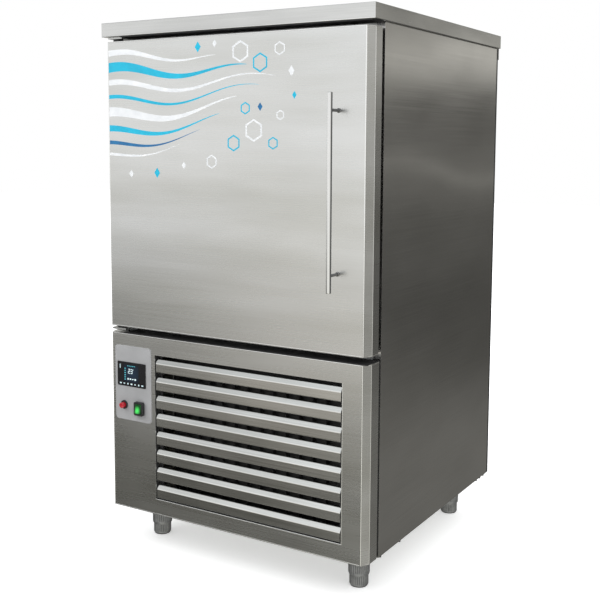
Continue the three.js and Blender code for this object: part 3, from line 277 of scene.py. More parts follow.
def makeCamera(v):
    turn, tilt, roll = v["turn"], v["tilt"], v["roll"]
    level = math.cos(tilt)
    ahead = Vector((-math.sin(turn) * level, math.cos(turn) * level, math.sin(tilt)))
    right = Vector((math.cos(turn), math.sin(turn), 0))
    up = right.cross(ahead)
    right, up = (
        right * math.cos(roll) + up * math.sin(roll),
        up * math.cos(roll) - right * math.sin(roll),
    )
    data = bpy.data.cameras.new("camera")
    data.lens, data.sensor_width = v["lens"], v["sensor"]
    data.shift_x, data.shift_y = v["shift"]
    made = linked("camera", data)
    facing = Matrix((right, up, -ahead)).transposed().to_4x4()
    made.matrix_world = Matrix.Translation(v["place"]) @ facing
    bpy.context.scene.camera = made


makeCamera(camera)
bpy.context.scene.view_settings.view_transform = "Standard"


# Joins each input to a socket, or sets it to a value.
def feed(tree, made, inputs):
    for key, value in inputs.items():
        if isinstance(value, bpy.types.NodeSocket):
            tree.links.new(value, made.inputs[key])
        else:
            made.inputs[key].default_value = value


def wire(tree, kind, inputs=None, **settings):
    made = tree.nodes.new("ShaderNode" + kind)
    for key, value in settings.items():
        setattr(made, key, value)
    feed(tree, made, inputs or {})
    return made.outputs


def calc(tree, kind, *values, clamp=False):
    return wire(tree, "Math", dict(enumerate(values)), operation=kind, use_clamp=clamp)[0]


def calcVector(tree, kind, *values, output=0):
    return wire(tree, "VectorMath", dict(enumerate(values)), operation=kind)[output]


def newLook(name):
    look = bpy.data.materials.new(name)
    look.use_nodes = True
    return look, look.node_tree, look.node_tree.nodes["Principled BSDF"]


def noise(tree, where, scale, detail=3.0, roughness=0.55, seed=0.0):
    start = (seed, seed * 1.7, seed * 0.6)
    place = wire(tree, "Mapping", {"Vector": where, "Scale": scale, "Location": start})[0]
    inputs = {"Vector": place, "Scale": 1.0, "Detail": detail, "Roughness": roughness}
    return wire(tree, "TexNoise", inputs)["Fac"]


def between(tree, value, low, high, start=0.3, end=0.7):
    inputs = {"Value": value, "From Min": start, "From Max": end, "To Min": low, "To Max": high}
    return wire(tree, "MapRange", inputs)[0]


def blendColour(tree, factor, first, second, mode="MIX"):
    inputs = {"Fac": factor, "Color1": first, "Color2": second}
    return wire(tree, "MixRGB", inputs, blend_type=mode)[0]


def multiplied(tree, first, second):
    return blendColour(tree, 1.0, first, second, "MULTIPLY")


# A tone is three numbers, or one for a grey.
def rgba(tone):
    return (tone, tone, tone, 1.0) if isinstance(tone, float) else (*tone, 1.0)


# How far an edge is from flat, 0 on a face and towards 1 at a corner.
def edgeShare(tree, width, gain):
    soft = wire(tree, "Bevel", {"Radius": width}, samples=4)[0]
    plain = wire(tree, "NewGeometry")["Normal"]
    same = calcVector(tree, "DOT_PRODUCT", soft, plain, output="Value")
    return calc(tree, "MULTIPLY", calc(tree, "SUBTRACT", 1.0, same), gain, clamp=True)


# Painted reflection, a bright band waving along the sheet: 1 + gain exp(-((z - height - rise
# cos(turns y + start)) / width)^2).
def reflectionBandTone(tree, where, sweep):
    height, rise, turns, start, width, gain = sweep
    axes = wire(tree, "SeparateXYZ", {0: where})
    wave = calc(tree, "COSINE", calc(tree, "MULTIPLY_ADD", axes["Y"], turns, start))
    off = calc(tree, "SUBTRACT", axes["Z"], calc(tree, "MULTIPLY_ADD", wave, rise, height))
    off = calc(tree, "DIVIDE", off, width)
    bell = calc(tree, "EXPONENT", calc(tree, "MULTIPLY", calc(tree, "MULTIPLY", off, off), -1.0))
    return calc(tree, "MULTIPLY_ADD", bell, gain, 1.0)


steelKeys = ("dark", "light", "edge", "rough", "grain", "cloud", "streak", "relief", "wave")
steelRows = {  # tones, roughness, scale along and across the grain, cloud scale, then strengths
    "brushed_steel": ((0.61, 0.61, 0.59), (0.76, 0.765, 0.77), 0.97,
                      0.27, (3, 330), (1.3, 6, 9), 0.022, 0.026, 0.8 * mm),
    "top_steel": ((0.5, 0.5, 0.495), (0.67, 0.67, 0.665), 0.95,
                  0.24, (3, 330), (2, 4, 14), 0.04, 0.07, 0.6 * mm),
    "fold_steel": (0.9, 0.97, 1.0,  # painted highlight: a bright line along a bend
                   0.2, (30, 500), (9, 9, 9), 0.02, 0.03, 0.02 * mm),
    "side_steel": ((0.57, 0.565, 0.555), (0.70, 0.695, 0.69), (0.8, 0.8, 0.79),
                   0.19, (3, 330), (6, 1.8, 5), 0.035, 0.05, 2.2 * mm),
    "chamber_steel": ((0.66, 0.665, 0.665), (0.74, 0.745, 0.74), 0.85,
                      0.3, (6, 500), (4, 4, 4), 0.04, 0.2, 0.5 * mm),
    "blade_steel": ((0.66, 0.66, 0.645), (0.8, 0.8, 0.79), 0.9,
                    0.2, (3, 420), (3, 6, 12), 0.06, 0.07, 0.15 * mm),
    "polished_steel": (0.74, (0.8, 0.8, 0.79), 0.9,
                       0.13, (40, 900), (8, 8, 8), 0.03, 0.06, 0.05 * mm),
    # Near-black steel for the handle posts: painted dark reflection.
    "post_steel": ((0.07, 0.07, 0.075), 0.2, 0.5,
                   0.2, (40, 900), (60, 60, 60), 0.05, 0.06, 0.05 * mm),
    "sheet_steel": ((0.55, 0.56, 0.56), (0.64, 0.64, 0.63), 0.78,
                    0.36, (6, 420), (4, 6, 6), 0.05, 0.25, 0.4 * mm),
    "galvanised_steel": ((0.42, 0.44, 0.45), (0.62, 0.63, 0.64), 0.7,
                         0.44, (70, 70), (30, 30, 30), 0.12, 0.15, 0.2 * mm),
    "fin_aluminium": ((0.66, 0.68, 0.69), (0.78, 0.79, 0.8), (0.85, 0.86, 0.87),
                      0.38, (30, 300), (20, 20, 20), 0.06, 0.2, 0.1 * mm),
    "copper": ((0.62, 0.27, 0.14), (0.85, 0.46, 0.28), (0.9, 0.55, 0.36),
               0.3, (60, 60), (25, 25, 25), 0.1, 0.1, 0.1 * mm),
}
steelExtras = {
    # Wider light edges on the door steel: painted highlight along its folds, beside the wear.
    "brushed_steel": {"edgeWidth": 2.6 * mm},
    # A bright band waving along the side sheet: painted reflection.
    "side_steel": {"sweep": (1.005, 0.034, 5.7, 1.43, 0.028, 0.3)},
    # Handle and screws darker on faces turned away from the front: painted shade.
    "polished_steel": {"flank": (0.12, 0.125, 0.13), "flankAt": (-0.72, -0.3)},
}
steelCommon = {
    "levelFrom": 0.75,  # a face turned up by more than this share has its grain along x
    "smearScale": (5, 5, 9),
    "smearGloss": (-0.015, 0.025),
    "streakGloss": 0.02,
    "edgeWidth": 1.2 * mm,
    "edgeGain": 1.6,
    "streakHeight": 0.15 * mm,
    "streakNoise": (1.6, 0.5),  # detail and roughness, and for the next ones a seed
    "cloudNoise": (3.0, 0.5, 3.1),
    "swellNoise": (0.6, 0.3, 1.9),
    "smearNoise": (2.0, 0.5, 7.7),
    "streakRange": (0.25, 0.75),
}


# Brushed sheet: fine streaks along the rolling direction, slow clouds, a slight wave. Its lighter
# edges are partly rubbed wear and partly painted highlight; where set, it also gets painted shade
# on faces turned from the front and a painted reflection band.
def steelLook(name, v):
    look, tree, shader = newLook(name)
    spot = wire(tree, "TexCoord")
    where, facing = spot["Object"], wire(tree, "SeparateXYZ", {0: spot["Normal"]})
    long, cross = v["grain"]
    upright = calcVector(tree, "MULTIPLY", where, (long, long, cross))
    level = calcVector(tree, "MULTIPLY", where, (long, cross, long))
    isLevel = calc(tree, "GREATER_THAN", calc(tree, "ABSOLUTE", facing["Z"]), v["levelFrom"])
    along = blendColour(tree, isLevel, upright, level)
    streak = noise(tree, along, (1, 1, 1), *v["streakNoise"])
    cloud = noise(tree, where, v["cloud"], *v["cloudNoise"])
    swell = noise(tree, where, v["cloud"], *v["swellNoise"])
    smear = noise(tree, where, v["smearScale"], *v["smearNoise"])
    tone = blendColour(tree, between(tree, cloud, 0, 1), rgba(v["dark"]), rgba(v["light"]))
    streaked = between(tree, streak, 1 - v["streak"], 1 + v["streak"], *v["streakRange"])
    tone = multiplied(tree, tone, streaked)
    # Lighter edges: partly rubbed wear, partly painted highlight on the bends.
    rubbed = edgeShare(tree, v["edgeWidth"], v["edgeGain"])
    tone = blendColour(tree, rubbed, tone, rgba(v["edge"]))
    if "flank" in v:  # painted shade: darker on faces turned away from the front
        away = between(tree, facing["Y"], 0, 1, *v["flankAt"])
        tone = blendColour(tree, away, tone, rgba(v["flank"]))
    # painted reflection: a bright band waving along the sheet
    if "sweep" in v:
        tone = multiplied(tree, tone, reflectionBandTone(tree, where, v["sweep"]))
    rough = between(tree, streak, v["rough"] - v["streakGloss"], v["rough"] + v["streakGloss"])
    gloss = calc(tree, "ADD", rough, between(tree, smear, *v["smearGloss"]))
    bump = {"Height": swell, "Strength": 1.0, "Distance": v["wave"]}
    fine = {"Height": streak, "Strength": v["relief"], "Distance": v["streakHeight"]}
    fine["Normal"] = wire(tree, "Bump", bump)[0]
    relief = wire(tree, "Bump", fine)[0]
    feed(tree, shader, {"Base Color": tone, "Roughness": gloss, "Normal": relief, "Metallic": 1.0})
    return look


plainKeys = ("dark", "light", "edge", "rough", "scale", "grain", "relief")
plainRows = {  # tones, roughness, scales of mottle and grain, relief
    "black_paint": ((0.018, 0.018, 0.02), (0.03, 0.03, 0.032), 0.07, 0.42, 30, 900, 0.3),
    "foam": ((0.6, 0.5, 0.28), (0.76, 0.67, 0.42), (0.8, 0.72, 0.5), 0.9, 90, 700, 1.0),
    "black_plastic": ((0.011, 0.011, 0.012), (0.02, 0.02, 0.022), 0.06, 0.4, 60, 1400, 0.3),
    "grey_plastic": ((0.2, 0.205, 0.21), (0.28, 0.285, 0.29), (0.36, 0.36, 0.37),
        0.48, 40, 1200, 0.3),
    "foot_grey": ((0.22, 0.223, 0.226), (0.34, 0.345, 0.35), (0.7, 0.705, 0.71),
        0.38, 70, 1500, 0.35),
    "black_rubber": ((0.012, 0.012, 0.013), (0.022, 0.022, 0.023), 0.04, 0.7, 50, 1500, 0.4),
    "display_glass": ((0.004, 0.004, 0.006), (0.007, 0.007, 0.01), (0.03, 0.03, 0.035),
        0.1, 12, 200, 0.01),
    "red_plastic": ((0.36, 0.004, 0.012), (0.62, 0.012, 0.03), (0.8, 0.12, 0.14),
        0.22, 80, 900, 0.05),
    "plate_grey": ((0.36, 0.36, 0.365), (0.41, 0.41, 0.415), (0.62, 0.62, 0.63),
        0.36, 16, 1800, 0.12),
    "white_film": ((0.72, 0.74, 0.76), (0.86, 0.87, 0.88), 0.9, 0.5, 25, 1500, 0.05),
    "cyan_film": ((0.0, 0.39, 0.58), (0.0, 0.48, 0.69), (0.05, 0.6, 0.82), 0.55, 25, 1500, 0.05),
    "deep_film": ((0.008, 0.1, 0.27), (0.016, 0.17, 0.38), (0.1, 0.3, 0.5), 0.55, 25, 1500, 0.05),
}
plainExtras = {
    "black_paint": {"coat": 0.1},
    # Feet: painted shade in the grooves of the flutes.
    "foot_grey": {"metal": 0.6, "grime": 3 * mm},
    "display_glass": {"coat": 1.0},
    "red_plastic": {"coat": 0.6},
    "plate_grey": {"metal": 0.15},
}
plainCommon = {
    "edgeWidth": 0.8 * mm,
    "edgeGain": 1.2,
    "uneven": 0.06,  # of the roughness
    "grainHeight": 0.2 * mm,
    "mottleNoise": (4.0, 0.6),
    "grainNoise": (2.0, 0.5, 5.3),
    "grimeTones": (0.12, 1.0, 0.45, 0.97),  # painted shade in hollows: tones, and how open the places are that have them
    "metal": 0.0,
    "coat": 0.0,
}


# Moulded, painted or cast surfaces: mottled colour, uneven gloss, fine grain, rubbed edges, and
# where set, painted shade in the grooves.
def plainLook(name, v):
    look, tree, shader = newLook(name)
    where = wire(tree, "TexCoord")["Object"]
    mottle = noise(tree, where, (v["scale"],) * 3, *v["mottleNoise"])
    grain = noise(tree, where, (v["grain"],) * 3, *v["grainNoise"])
    tone = blendColour(tree, between(tree, mottle, 0, 1), rgba(v["dark"]), rgba(v["light"]))
    rubbed = edgeShare(tree, v["edgeWidth"], v["edgeGain"])
    tone = blendColour(tree, rubbed, tone, rgba(v["edge"]))
    if "grime" in v:  # painted shade: darker in the grooves by ambient occlusion
        near = wire(tree, "AmbientOcclusion", {"Distance": v["grime"]}, samples=8)["AO"]
        tone = multiplied(tree, tone, between(tree, near, *v["grimeTones"]))
    gloss = between(tree, mottle, v["rough"] - v["uneven"], v["rough"] + v["uneven"])
    bump = {"Height": grain, "Strength": v["relief"], "Distance": v["grainHeight"]}
    relief = wire(tree, "Bump", bump)[0]
    feed(tree, shader, {"Base Color": tone, "Roughness": gloss, "Normal": relief})
    feed(tree, shader, {"Metallic": v["metal"], "Coat Weight": v["coat"]})
    return look


switchMiddle = boxOf("switch_bezel")[2]
screenMiddle = (-0.307, -0.38, 0.47)
litKeys = ("dark", "light", "dim", "glow", "middle", "spread", "power", "rough")
litRows = {
    "green_lens": ((0.0, 0.05, 0.006), (0.02, 0.4, 0.05), (0.0, 0.03, 0.002), (0.08, 1.0, 0.16),
                   (switchMiddle[0] - 2 * mm, -0.389, switchMiddle[2] - 4 * mm),
                   (10 * mm, 30 * mm, 13 * mm), 0.55, 0.24),
    "white_light": ((0.4, 0.48, 0.5), (0.5, 0.6, 0.62), (0.5, 0.75, 0.8), (0.8, 0.97, 1.0),
                    screenMiddle, (0.05, 1.0, 0.05), 0.5, 0.3),
    "screen_blue": ((0.004, 0.006, 0.01), (0.008, 0.014, 0.024), (0.002, 0.006, 0.012),
                    (0.02, 0.05, 0.09), (-0.307, -0.38, 0.472), (0.04, 1.0, 0.035), 0.35, 0.15),
    "cyan_light": ((0.05, 0.3, 0.35), (0.08, 0.4, 0.45), (0.06, 0.4, 0.5), (0.15, 0.75, 0.85),
                   screenMiddle, (0.05, 1.0, 0.05), 0.6, 0.3),
}
litCommon = {
    "grain": (900, 900, 900),
    "grainDetail": 2.0,
    "uneven": 0.08,
    "fade": (1.0, 0.0, 0.15, 1.0),  # glow in the middle and at the rim, and where each starts
    "specks": (0.0, 0.25),
}


# Lit surface: the glow fades from its middle towards the rim.
def litLook(name, v):
    look, tree, shader = newLook(name)
    where = wire(tree, "TexCoord")["Object"]
    off = calcVector(tree, "SUBTRACT", where, v["middle"])
    scaled = calcVector(tree, "DIVIDE", off, v["spread"])
    length = calcVector(tree, "LENGTH", scaled, output="Value")
    near = between(tree, length, *v["fade"])
    grain = noise(tree, where, v["grain"], v["grainDetail"])
    tone = blendColour(tree, near, rgba(v["dark"]), rgba(v["light"]))
    tone = blendColour(tree, between(tree, grain, *v["specks"]), tone, rgba(v["dark"]))
    glow = blendColour(tree, near, rgba(v["dim"]), rgba(v["glow"]))
    gloss = between(tree, grain, v["rough"], v["rough"] + v["uneven"])
    feed(tree, shader, {"Base Color": tone, "Roughness": gloss})
    feed(tree, shader, {"Emission Color": glow, "Emission Strength": v["power"]})
    return look


looks = {}
for make, keys, rows, common, extras in (
    (steelLook, steelKeys, steelRows, steelCommon, steelExtras),
    (plainLook, plainKeys, plainRows, plainCommon, plainExtras),
    (litLook, litKeys, litRows, litCommon, {}),
):
    for name, row in rows.items():
        looks[name] = make(name, common | dict(zip(keys, row)) | extras.get(name, {}))
for node in frame["nodes"].values():
    for place in node.material_slots:
        place.material = looks[place.material.name.split(".")[0]]
frame["nodes"]["control_plate"].material_slots[0].material = looks["plate_grey"]
frame["nodes"]["worktop"].material_slots[0].material = looks["top_steel"]
print("materials made")


studio = {
    "floor": 30.0,
    "floorTone": (0.96, 0.96, 0.96),
    "floorLift": (0.42, 1.0),  # glow near the object and far from it, as the camera sees it
    "floorFade": (0.7, 2.2),
    "floorMottle": (0.985, 1.0),
    "floorRough": 0.9,
    "ambient": (0.62, 0.63, 0.64),
    "lamps": [  # place, aim, size, watts
        ((-2.6, -3.2, 3.4), (0, 0, 0.8), 2.6, 95),
        ((2.8, -1.6, 3.2), (0, 0, 0.8), 2.2, 45),
        ((0.5, 3.0, 3.0), (0, 0, 0.9), 2.4, 50),
    ],
}
surround = {  # angles in radians, but for the heights of side and tint, in degrees
    "radius": 7.0,
    "centre": (0, 0, 1.0),
    "grid": (144, 121),
    "bright": 1.04,
    "fallAhead": (-0.28, -0.09),  # below the horizon: low and high edge of the fall
    "fallAside": (-0.235, -0.015),
    "fallTurn": (0.46, 0.74),  # left of -Y between the two
    "floor": (0.95, 0.15),  # below the fall, straight ahead and to the left
    "floorTurn": (0.1, 0.78),  # left of -Y between the two
    "floorBack": (2.6, 1.2),
    "fadeLow": 0.75,
    "fadeAt": (0.27, 0.40),
    "fadeTurn": (-0.1, 0.25),
    "fadeEnd": (0.58, 0.73),
    "fadeLeft": 0.5,
    "nearFloor": 0.9,  # close under the object
    "nearRise": (0.75, 1.25),
    "darkTurn": 0.40,  # middle of the dark side, from +Y towards +X
    "darkSpread": (0.5, 2.2),
    "sideHeights": (-30, -20, -17, -13, -10.5, -8, -4, -1.5, 1, 3, 5.3, 6.8, 9, 14, 40),
    "sideTones": (0.17, 0.18, 0.11, 0.09, 0.085, 0.11, 0.12, 0.22,
                  0.13, 0.14, 0.07, 1.1, 0.35, 0.2, 0.5),
    "sideTint": (1.0, 0.98, 0.9),
    "tintHeights": (-25, -6, 2, 30, 60),
    "tints": ((1.0, 1.0, 1.0, 0.965, 0.93), (0.99, 1.0, 1.0, 0.995, 0.985),
              (0.88, 0.97, 0.99, 1.0, 1.0)),
    "highLeft": (0.48, (0.42, 0.86), (0.28, 0.42)),  # share lost, leftward from, upward from
    "highBack": (2.4, 1.6),
    "patch": (1.48, -0.24, 0.3, 0.05, -0.13),  # heading from +Y, height, half sizes, gain
    "least": 0.03,
    "warmSpot": (0.5, -0.28, 0.14, 0.1, (0.36, 0.27, 0.2)),  # left, height, half sizes, gains
}


def smooth(value, low, high):
    t = np.clip((value - low) / (high - low), 0, 1)
    return t * t * (3 - 2 * t)


# White room lit from the front and left; its back right side is draped dark, so the cabinet's
# side reads darker than its front. Only glossy rays see it. Every tone is a product or a blend
# of soft steps in heading and height.
def makeSurround(v):
    turns, rises = v["grid"]
    turn = np.linspace(-np.pi, np.pi, turns, endpoint=False)
    rise = np.linspace(-np.pi / 2 + 0.01, np.pi / 2 - 0.01, rises)
    rise, turn = np.meshgrid(rise, turn, indexing="ij")
    level = np.cos(rise)
    direction = np.stack([np.sin(turn) * level, np.cos(turn) * level, np.sin(rise)], -1)
    points, faces = skin(direction * v["radius"] + v["centre"])
    heading = np.append(turn.ravel(), [0, 0])
    height = np.append(rise.ravel(), [-np.pi / 2, np.pi / 2])
    away = np.abs((heading - v["darkTurn"] + np.pi) % (2 * np.pi) - np.pi)
    left = (heading + 2 * np.pi) % (2 * np.pi) - np.pi  # left of -Y
    ahead, aside = v["floor"]
    sideways = smooth(left, *v["floorTurn"]) * smooth(left, *v["floorBack"])
    fade = v["fadeLow"] * smooth(-height, *v["fadeAt"]) * smooth(left, *v["fadeTurn"])
    fade = fade * (1 - v["fadeLeft"] * smooth(left, *v["fadeEnd"]))
    floor = (ahead + (aside - ahead) * sideways) * (1 - fade)
    share = smooth(left, *v["fallTurn"])
    lowEdge, highEdge = [a + (b - a) * share for a, b in zip(v["fallAhead"], v["fallAside"])]
    bright = floor + (v["bright"] - floor) * smooth(height, lowEdge, highEdge)
    degrees = np.degrees(height)
    lightSide = smooth(away, *v["darkSpread"])
    shade = np.interp(degrees, v["sideHeights"], v["sideTones"])
    tone = shade + (bright - shade) * lightSide
    tone = tone + (v["nearFloor"] - tone) * smooth(-height, *v["nearRise"])
    lost, fromLeft, fromUp = v["highLeft"]
    high = smooth(left, *fromLeft) * smooth(left, *v["highBack"]) * smooth(height, *fromUp)
    tone = tone * (1 - lost * high)
    atHeading, atHeight, wide, tall, gain = v["patch"]
    off = ((heading - atHeading) / wide) ** 2 + ((height - atHeight) / tall) ** 2
    tone = np.maximum(tone + gain * np.exp(-off), v["least"])
    tint = np.stack([np.interp(degrees, v["tintHeights"], row) for row in v["tints"]], -1)
    tint = tint * lightSide[:, None] + np.array(v["sideTint"]) * (1 - lightSide)[:, None]
    atLeft, atHeight, wide, tall, warm = v["warmSpot"]
    spot = np.exp(-(((left - atLeft) / wide) ** 2) - ((height - atHeight) / tall) ** 2)
    tint = tint * (1 + spot[:, None] * np.array(warm))
    colour = np.concatenate([tone[:, None] * tint, np.ones((len(tone), 1))], 1)
    mesh = bpy.data.meshes.new("surround")
    mesh.from_pydata(points.tolist(), [], [f for g in faces for f in g.tolist()])
    layer = mesh.attributes.new("tone", "FLOAT_COLOR", "POINT")
    layer.data.foreach_set("color", colour.astype(np.float32).ravel())
    look, tree, shader = newLook("surround")
    seen = wire(tree, "Attribute", attribute_name="tone")["Color"]
    glow = wire(tree, "Emission", {"Color": seen, "Strength": 1.0})[0]
    feed(tree, tree.nodes["Material Output"], {"Surface": glow})
    mesh.materials.append(look)
    made = linked("surround", mesh)
    made.visible_camera = made.visible_diffuse = made.visible_shadow = False
    made.visible_transmission = made.visible_volume_scatter = False


# 1 on a ray that shows a surface, 0 on one that only lights it.
def seenRay(tree):
    rays = wire(tree, "LightPath")
    seen = calc(tree, "MAXIMUM", rays["Is Camera Ray"], rays["Is Glossy Ray"])
    return calc(tree, "MAXIMUM", seen, rays["Is Transmission Ray"])


def makeStudio(v):
    world = bpy.data.worlds.new("studio")
    bpy.context.scene.world = world
    world.use_nodes = True
    tree = world.node_tree
    tone = blendColour(tree, seenRay(tree), rgba(v["ambient"]), (1, 1, 1, 1))
    feed(tree, tree.nodes["Background"], {"Color": tone})
    world.cycles_visibility.glossy = False
    half = v["floor"] / 2
    mesh = bpy.data.meshes.new("floor")
    corners = [(-half, -half, 0), (half, -half, 0), (half, half, 0), (-half, half, 0)]
    mesh.from_pydata(corners, [], [(0, 1, 2, 3)])
    look, tree, shader = newLook("floor")
    where = wire(tree, "TexCoord")["Object"]
    mottle = between(tree, noise(tree, where, (3, 3, 3)), *v["floorMottle"])
    off = calcVector(tree, "LENGTH", where, output="Value")
    far = between(tree, off, *v["floorLift"], *v["floorFade"])
    lift = calc(tree, "MULTIPLY", seenRay(tree), far)
    tone = multiplied(tree, rgba(v["floorTone"]), mottle)
    feed(tree, shader, {"Base Color": tone, "Roughness": v["floorRough"]})
    feed(tree, shader, {"Emission Color": (1, 1, 1, 1), "Emission Strength": lift})
    mesh.materials.append(look)
    floor = linked("floor", mesh)
    floor.visible_glossy = False
    for number, (place, aim, size, watts) in enumerate(v["lamps"]):
        data = bpy.data.lights.new(f"lamp{number}", "AREA")
        data.size, data.energy = size, watts
        lamp = linked(f"lamp{number}", data)
        lamp.location = place
        lamp.rotation_mode = "QUATERNION"
        lamp.rotation_quaternion = (Vector(aim) - Vector(place)).to_track_quat("-Z", "Y")
        lamp.visible_glossy = False


makeStudio(studio)
makeSurround(surround)
print("studio made")


folds = {
    "weld": 0.02 * mm,
    "segments": 3,
    "angle": math.radians(28),
    "radii": {
        "worktop": 1.6 * mm,
        "door_skin": 2.2 * mm,
        "front_panel": 1.8 * mm,
        "side_panel_left": 2.5 * mm,
        "side_panel_right": 2.5 * mm,
        "control_plate": 0.5 * mm,
        "back_panel": 0.4 * mm,
        "control_box": 1.0 * mm,
        "upper_hinge_bracket": 0.6 * mm,
        "lower_hinge_bracket": 0.6 * mm,
    },
}
for name, radius in folds["radii"].items():
    node = frame["nodes"][name]
    node.modifiers.new("weld", "WELD").merge_threshold = folds["weld"]
    bend = node.modifiers.new("fold", "BEVEL")
    bend.width, bend.segments = radius, folds["segments"]
    bend.limit_method, bend.angle_limit = "ANGLE", folds["angle"]
print("folds rounded")

handle = {
    "endEdge": 1.6 * mm,
    "neck": 3.6 * mm,
    "neckEdge": 1.6 * mm,
    "neckEnds": (2 * mm, 0.4 * mm),  # rings behind the bar
    "base": 5.0 * mm,
    "baseEdge": 0.6 * mm,
    "baseRise": 1.6 * mm,
    "edgeSteps": 5,
}


# Bar with rounded ends; each post is a disc with a rounded rim and a neck that flares out of it.
def makeHandle(v):
    low, high, (x, y, _), size = boxOf("handle_bar")
    end = roundedEnd(size[0] / 2, 0, v["endEdge"], v["edgeSteps"])
    bar = np.concatenate([end + [0, low.z], (end * [1, -1])[::-1] + [0, high.z]])
    bar = turned(bar, (x, y, 0))
    made = addPiece("handle_bar_round", bar, "polished_steel", "door", "handle_bar", 50)
    made.visible_glossy = False  # the real door's finish is too soft to mirror it
    for name in ("handle_post_lower", "handle_post_upper"):
        low, high, (_, _, z), _ = boxOf(name)
        base, neck, seat = v["base"], v["neck"], high.y - v["baseRise"]
        flare = roundedRim(seat, neck, v["neckEdge"], v["edgeSteps"])[:, ::-1]
        rings = [[neck, low.y + ring] for ring in v["neckEnds"]]
        rim = roundedRim(base, seat, v["baseEdge"], v["edgeSteps"])
        post = turned(np.concatenate([[[base, high.y]], rim, flare, rings]), (x, 0, z), "Y", 40)
        # the posts' steel is near black: painted dark reflection
        addPiece(name + "_round", post, "post_steel", "door", name, 40)


makeHandle(handle)
print("handle made")


grille = {
    "blades": 8,
    "mouth": 0.3 * mm,  # the panel's opening past the grille's box
    "lift": 3 * mm,  # lowest blade above the opening's edge
    "stations": 40,
    "face": 23 * mm,
    "rise": 11.2 * mm,
    "slopeDepth": 6.7 * mm,
    "lip": 6.5 * mm,
    "sheet": 1.2 * mm,
    "bend": 1.7 * mm,
    "endGap": 2.7 * mm,  # from the rail's outer edge to the blade's end
    "lowLip": (5 * mm, 0.8 * mm),  # depth and rise of the lip at the foot
    "rail": (11 * mm, 3 * mm, 0.6 * mm, 1 * mm, 0.4 * mm),  # width, depth, edge, corner, inset
    "trim": (0.9 * mm, 9 * mm, 1.2 * mm),  # black trim round the mouth: thickness, depth, setback
    "trimPast": 0.5 * mm,
    "trimCorner": 2.5 * mm,
}


# Each blade is one bent path in (y, z) drawn along x; the mouth's trim is a square ring.
def makeGrille(v):
    low, high, (x, _, z), (wide, _, tall) = boxOf("louvre_grille")
    pitch = (tall + 2 * v["mouth"]) / v["blades"]
    along = np.linspace(low.x + v["endGap"], high.x - v["endGap"], v["stations"])
    front, bend = low.y, v["bend"]
    bottom = low.z - v["mouth"] + v["lift"]
    top, slope = bottom + v["face"] + v["rise"], front + v["slopeDepth"]
    lipDeep, lipRise = v["lowLip"]
    path = np.array([
        (front + lipDeep, bottom + lipRise),
        (front, bottom),
        (front, bottom + v["face"]),
        (slope, top),
        (slope + v["lip"], top),
    ])
    blade = foldedSheet(held(softened(path, [0, bend, bend, bend, 0], 5)), -v["sheet"], along)
    blades = joined(*[moved(blade, (0, 0, i * pitch)) for i in range(v["blades"])])
    stands, slot = "louvre_grille", "brushed_steel"
    addPiece("louvre_blades", blades, "blade_steel", "cabinet", stands, 40)
    width, deep, edge, corner, inset = v["rail"]
    levels = edgeLevels(high.y, high.y - deep, edge)
    rails = [
        stacked((railX, z), (width, tall), corner, levels, 3)
        for railX in (low.x + width / 2 + inset, high.x - width / 2 - inset)
    ]
    rails = joined(*rails)
    # Rails in near-black paint: painted shade for the dark gaps beside the blade ends.
    addPiece("louvre_rails_painted_shade", rails, "black_paint", "cabinet", stands)
    thick, deep, setback = v["trim"]
    edge = front + setback
    ring = [(0, edge), (0, edge + deep), (thick, edge + deep), (thick, edge)]
    size = (wide + v["trimPast"], tall + v["trimPast"])
    trim = stacked((x, z), size, v["trimCorner"], ring, 5, None, True)
    addPiece("louvre_mouth_trim", trim, "black_rubber", "cabinet")


makeGrille(grille)
print("grille made")


controls = {
    "seat": 0.3 * mm,  # in front of the plate
    "glassCorner": 2.5 * mm,
    "glassRim": 5.2 * mm,
    "glassEdge": 0.6 * mm,
    "bezelCorner": 4.5 * mm,
    "bezelRim": 4.2 * mm,
    "bezelEdge": 1.5 * mm,
    "well": 5 * mm,
    "wellLip": 1 * mm,
    "wellDepth": 12 * mm,
    "rockerPivot": (-0.3831, 0.382),
    "rockerHalf": (9.7 * mm, 12.3 * mm),
    "rockerCorner": 1.5 * mm,
    "rockerSkirt": [(0.4 * mm, 7 * mm), (0.0, 5.4 * mm)],  # inset and depth of its rings
    "rockerEdge": 1.1 * mm,
    "rockerRings": (2 * mm, 0.4 * mm, 9),  # first inset, what is left at the middle, how many
    "rockerFace": -0.3889,
    "rockerDish": (1.7 * mm, 0.01),
    "rockerRest": math.radians(-9),
    "collarEdge": 0.9 * mm,
    "collarWall": 4 * mm,
    "collarBevel": 0.5 * mm,
    "buttonEdge": 1.5 * mm,
    "buttonDish": 0.6 * mm,
    "buttonRings": (0.4 * mm, 0.5 * mm, 6),  # from the rim, left at the middle, how many
    "buttonSkirt": 4 * mm,
}


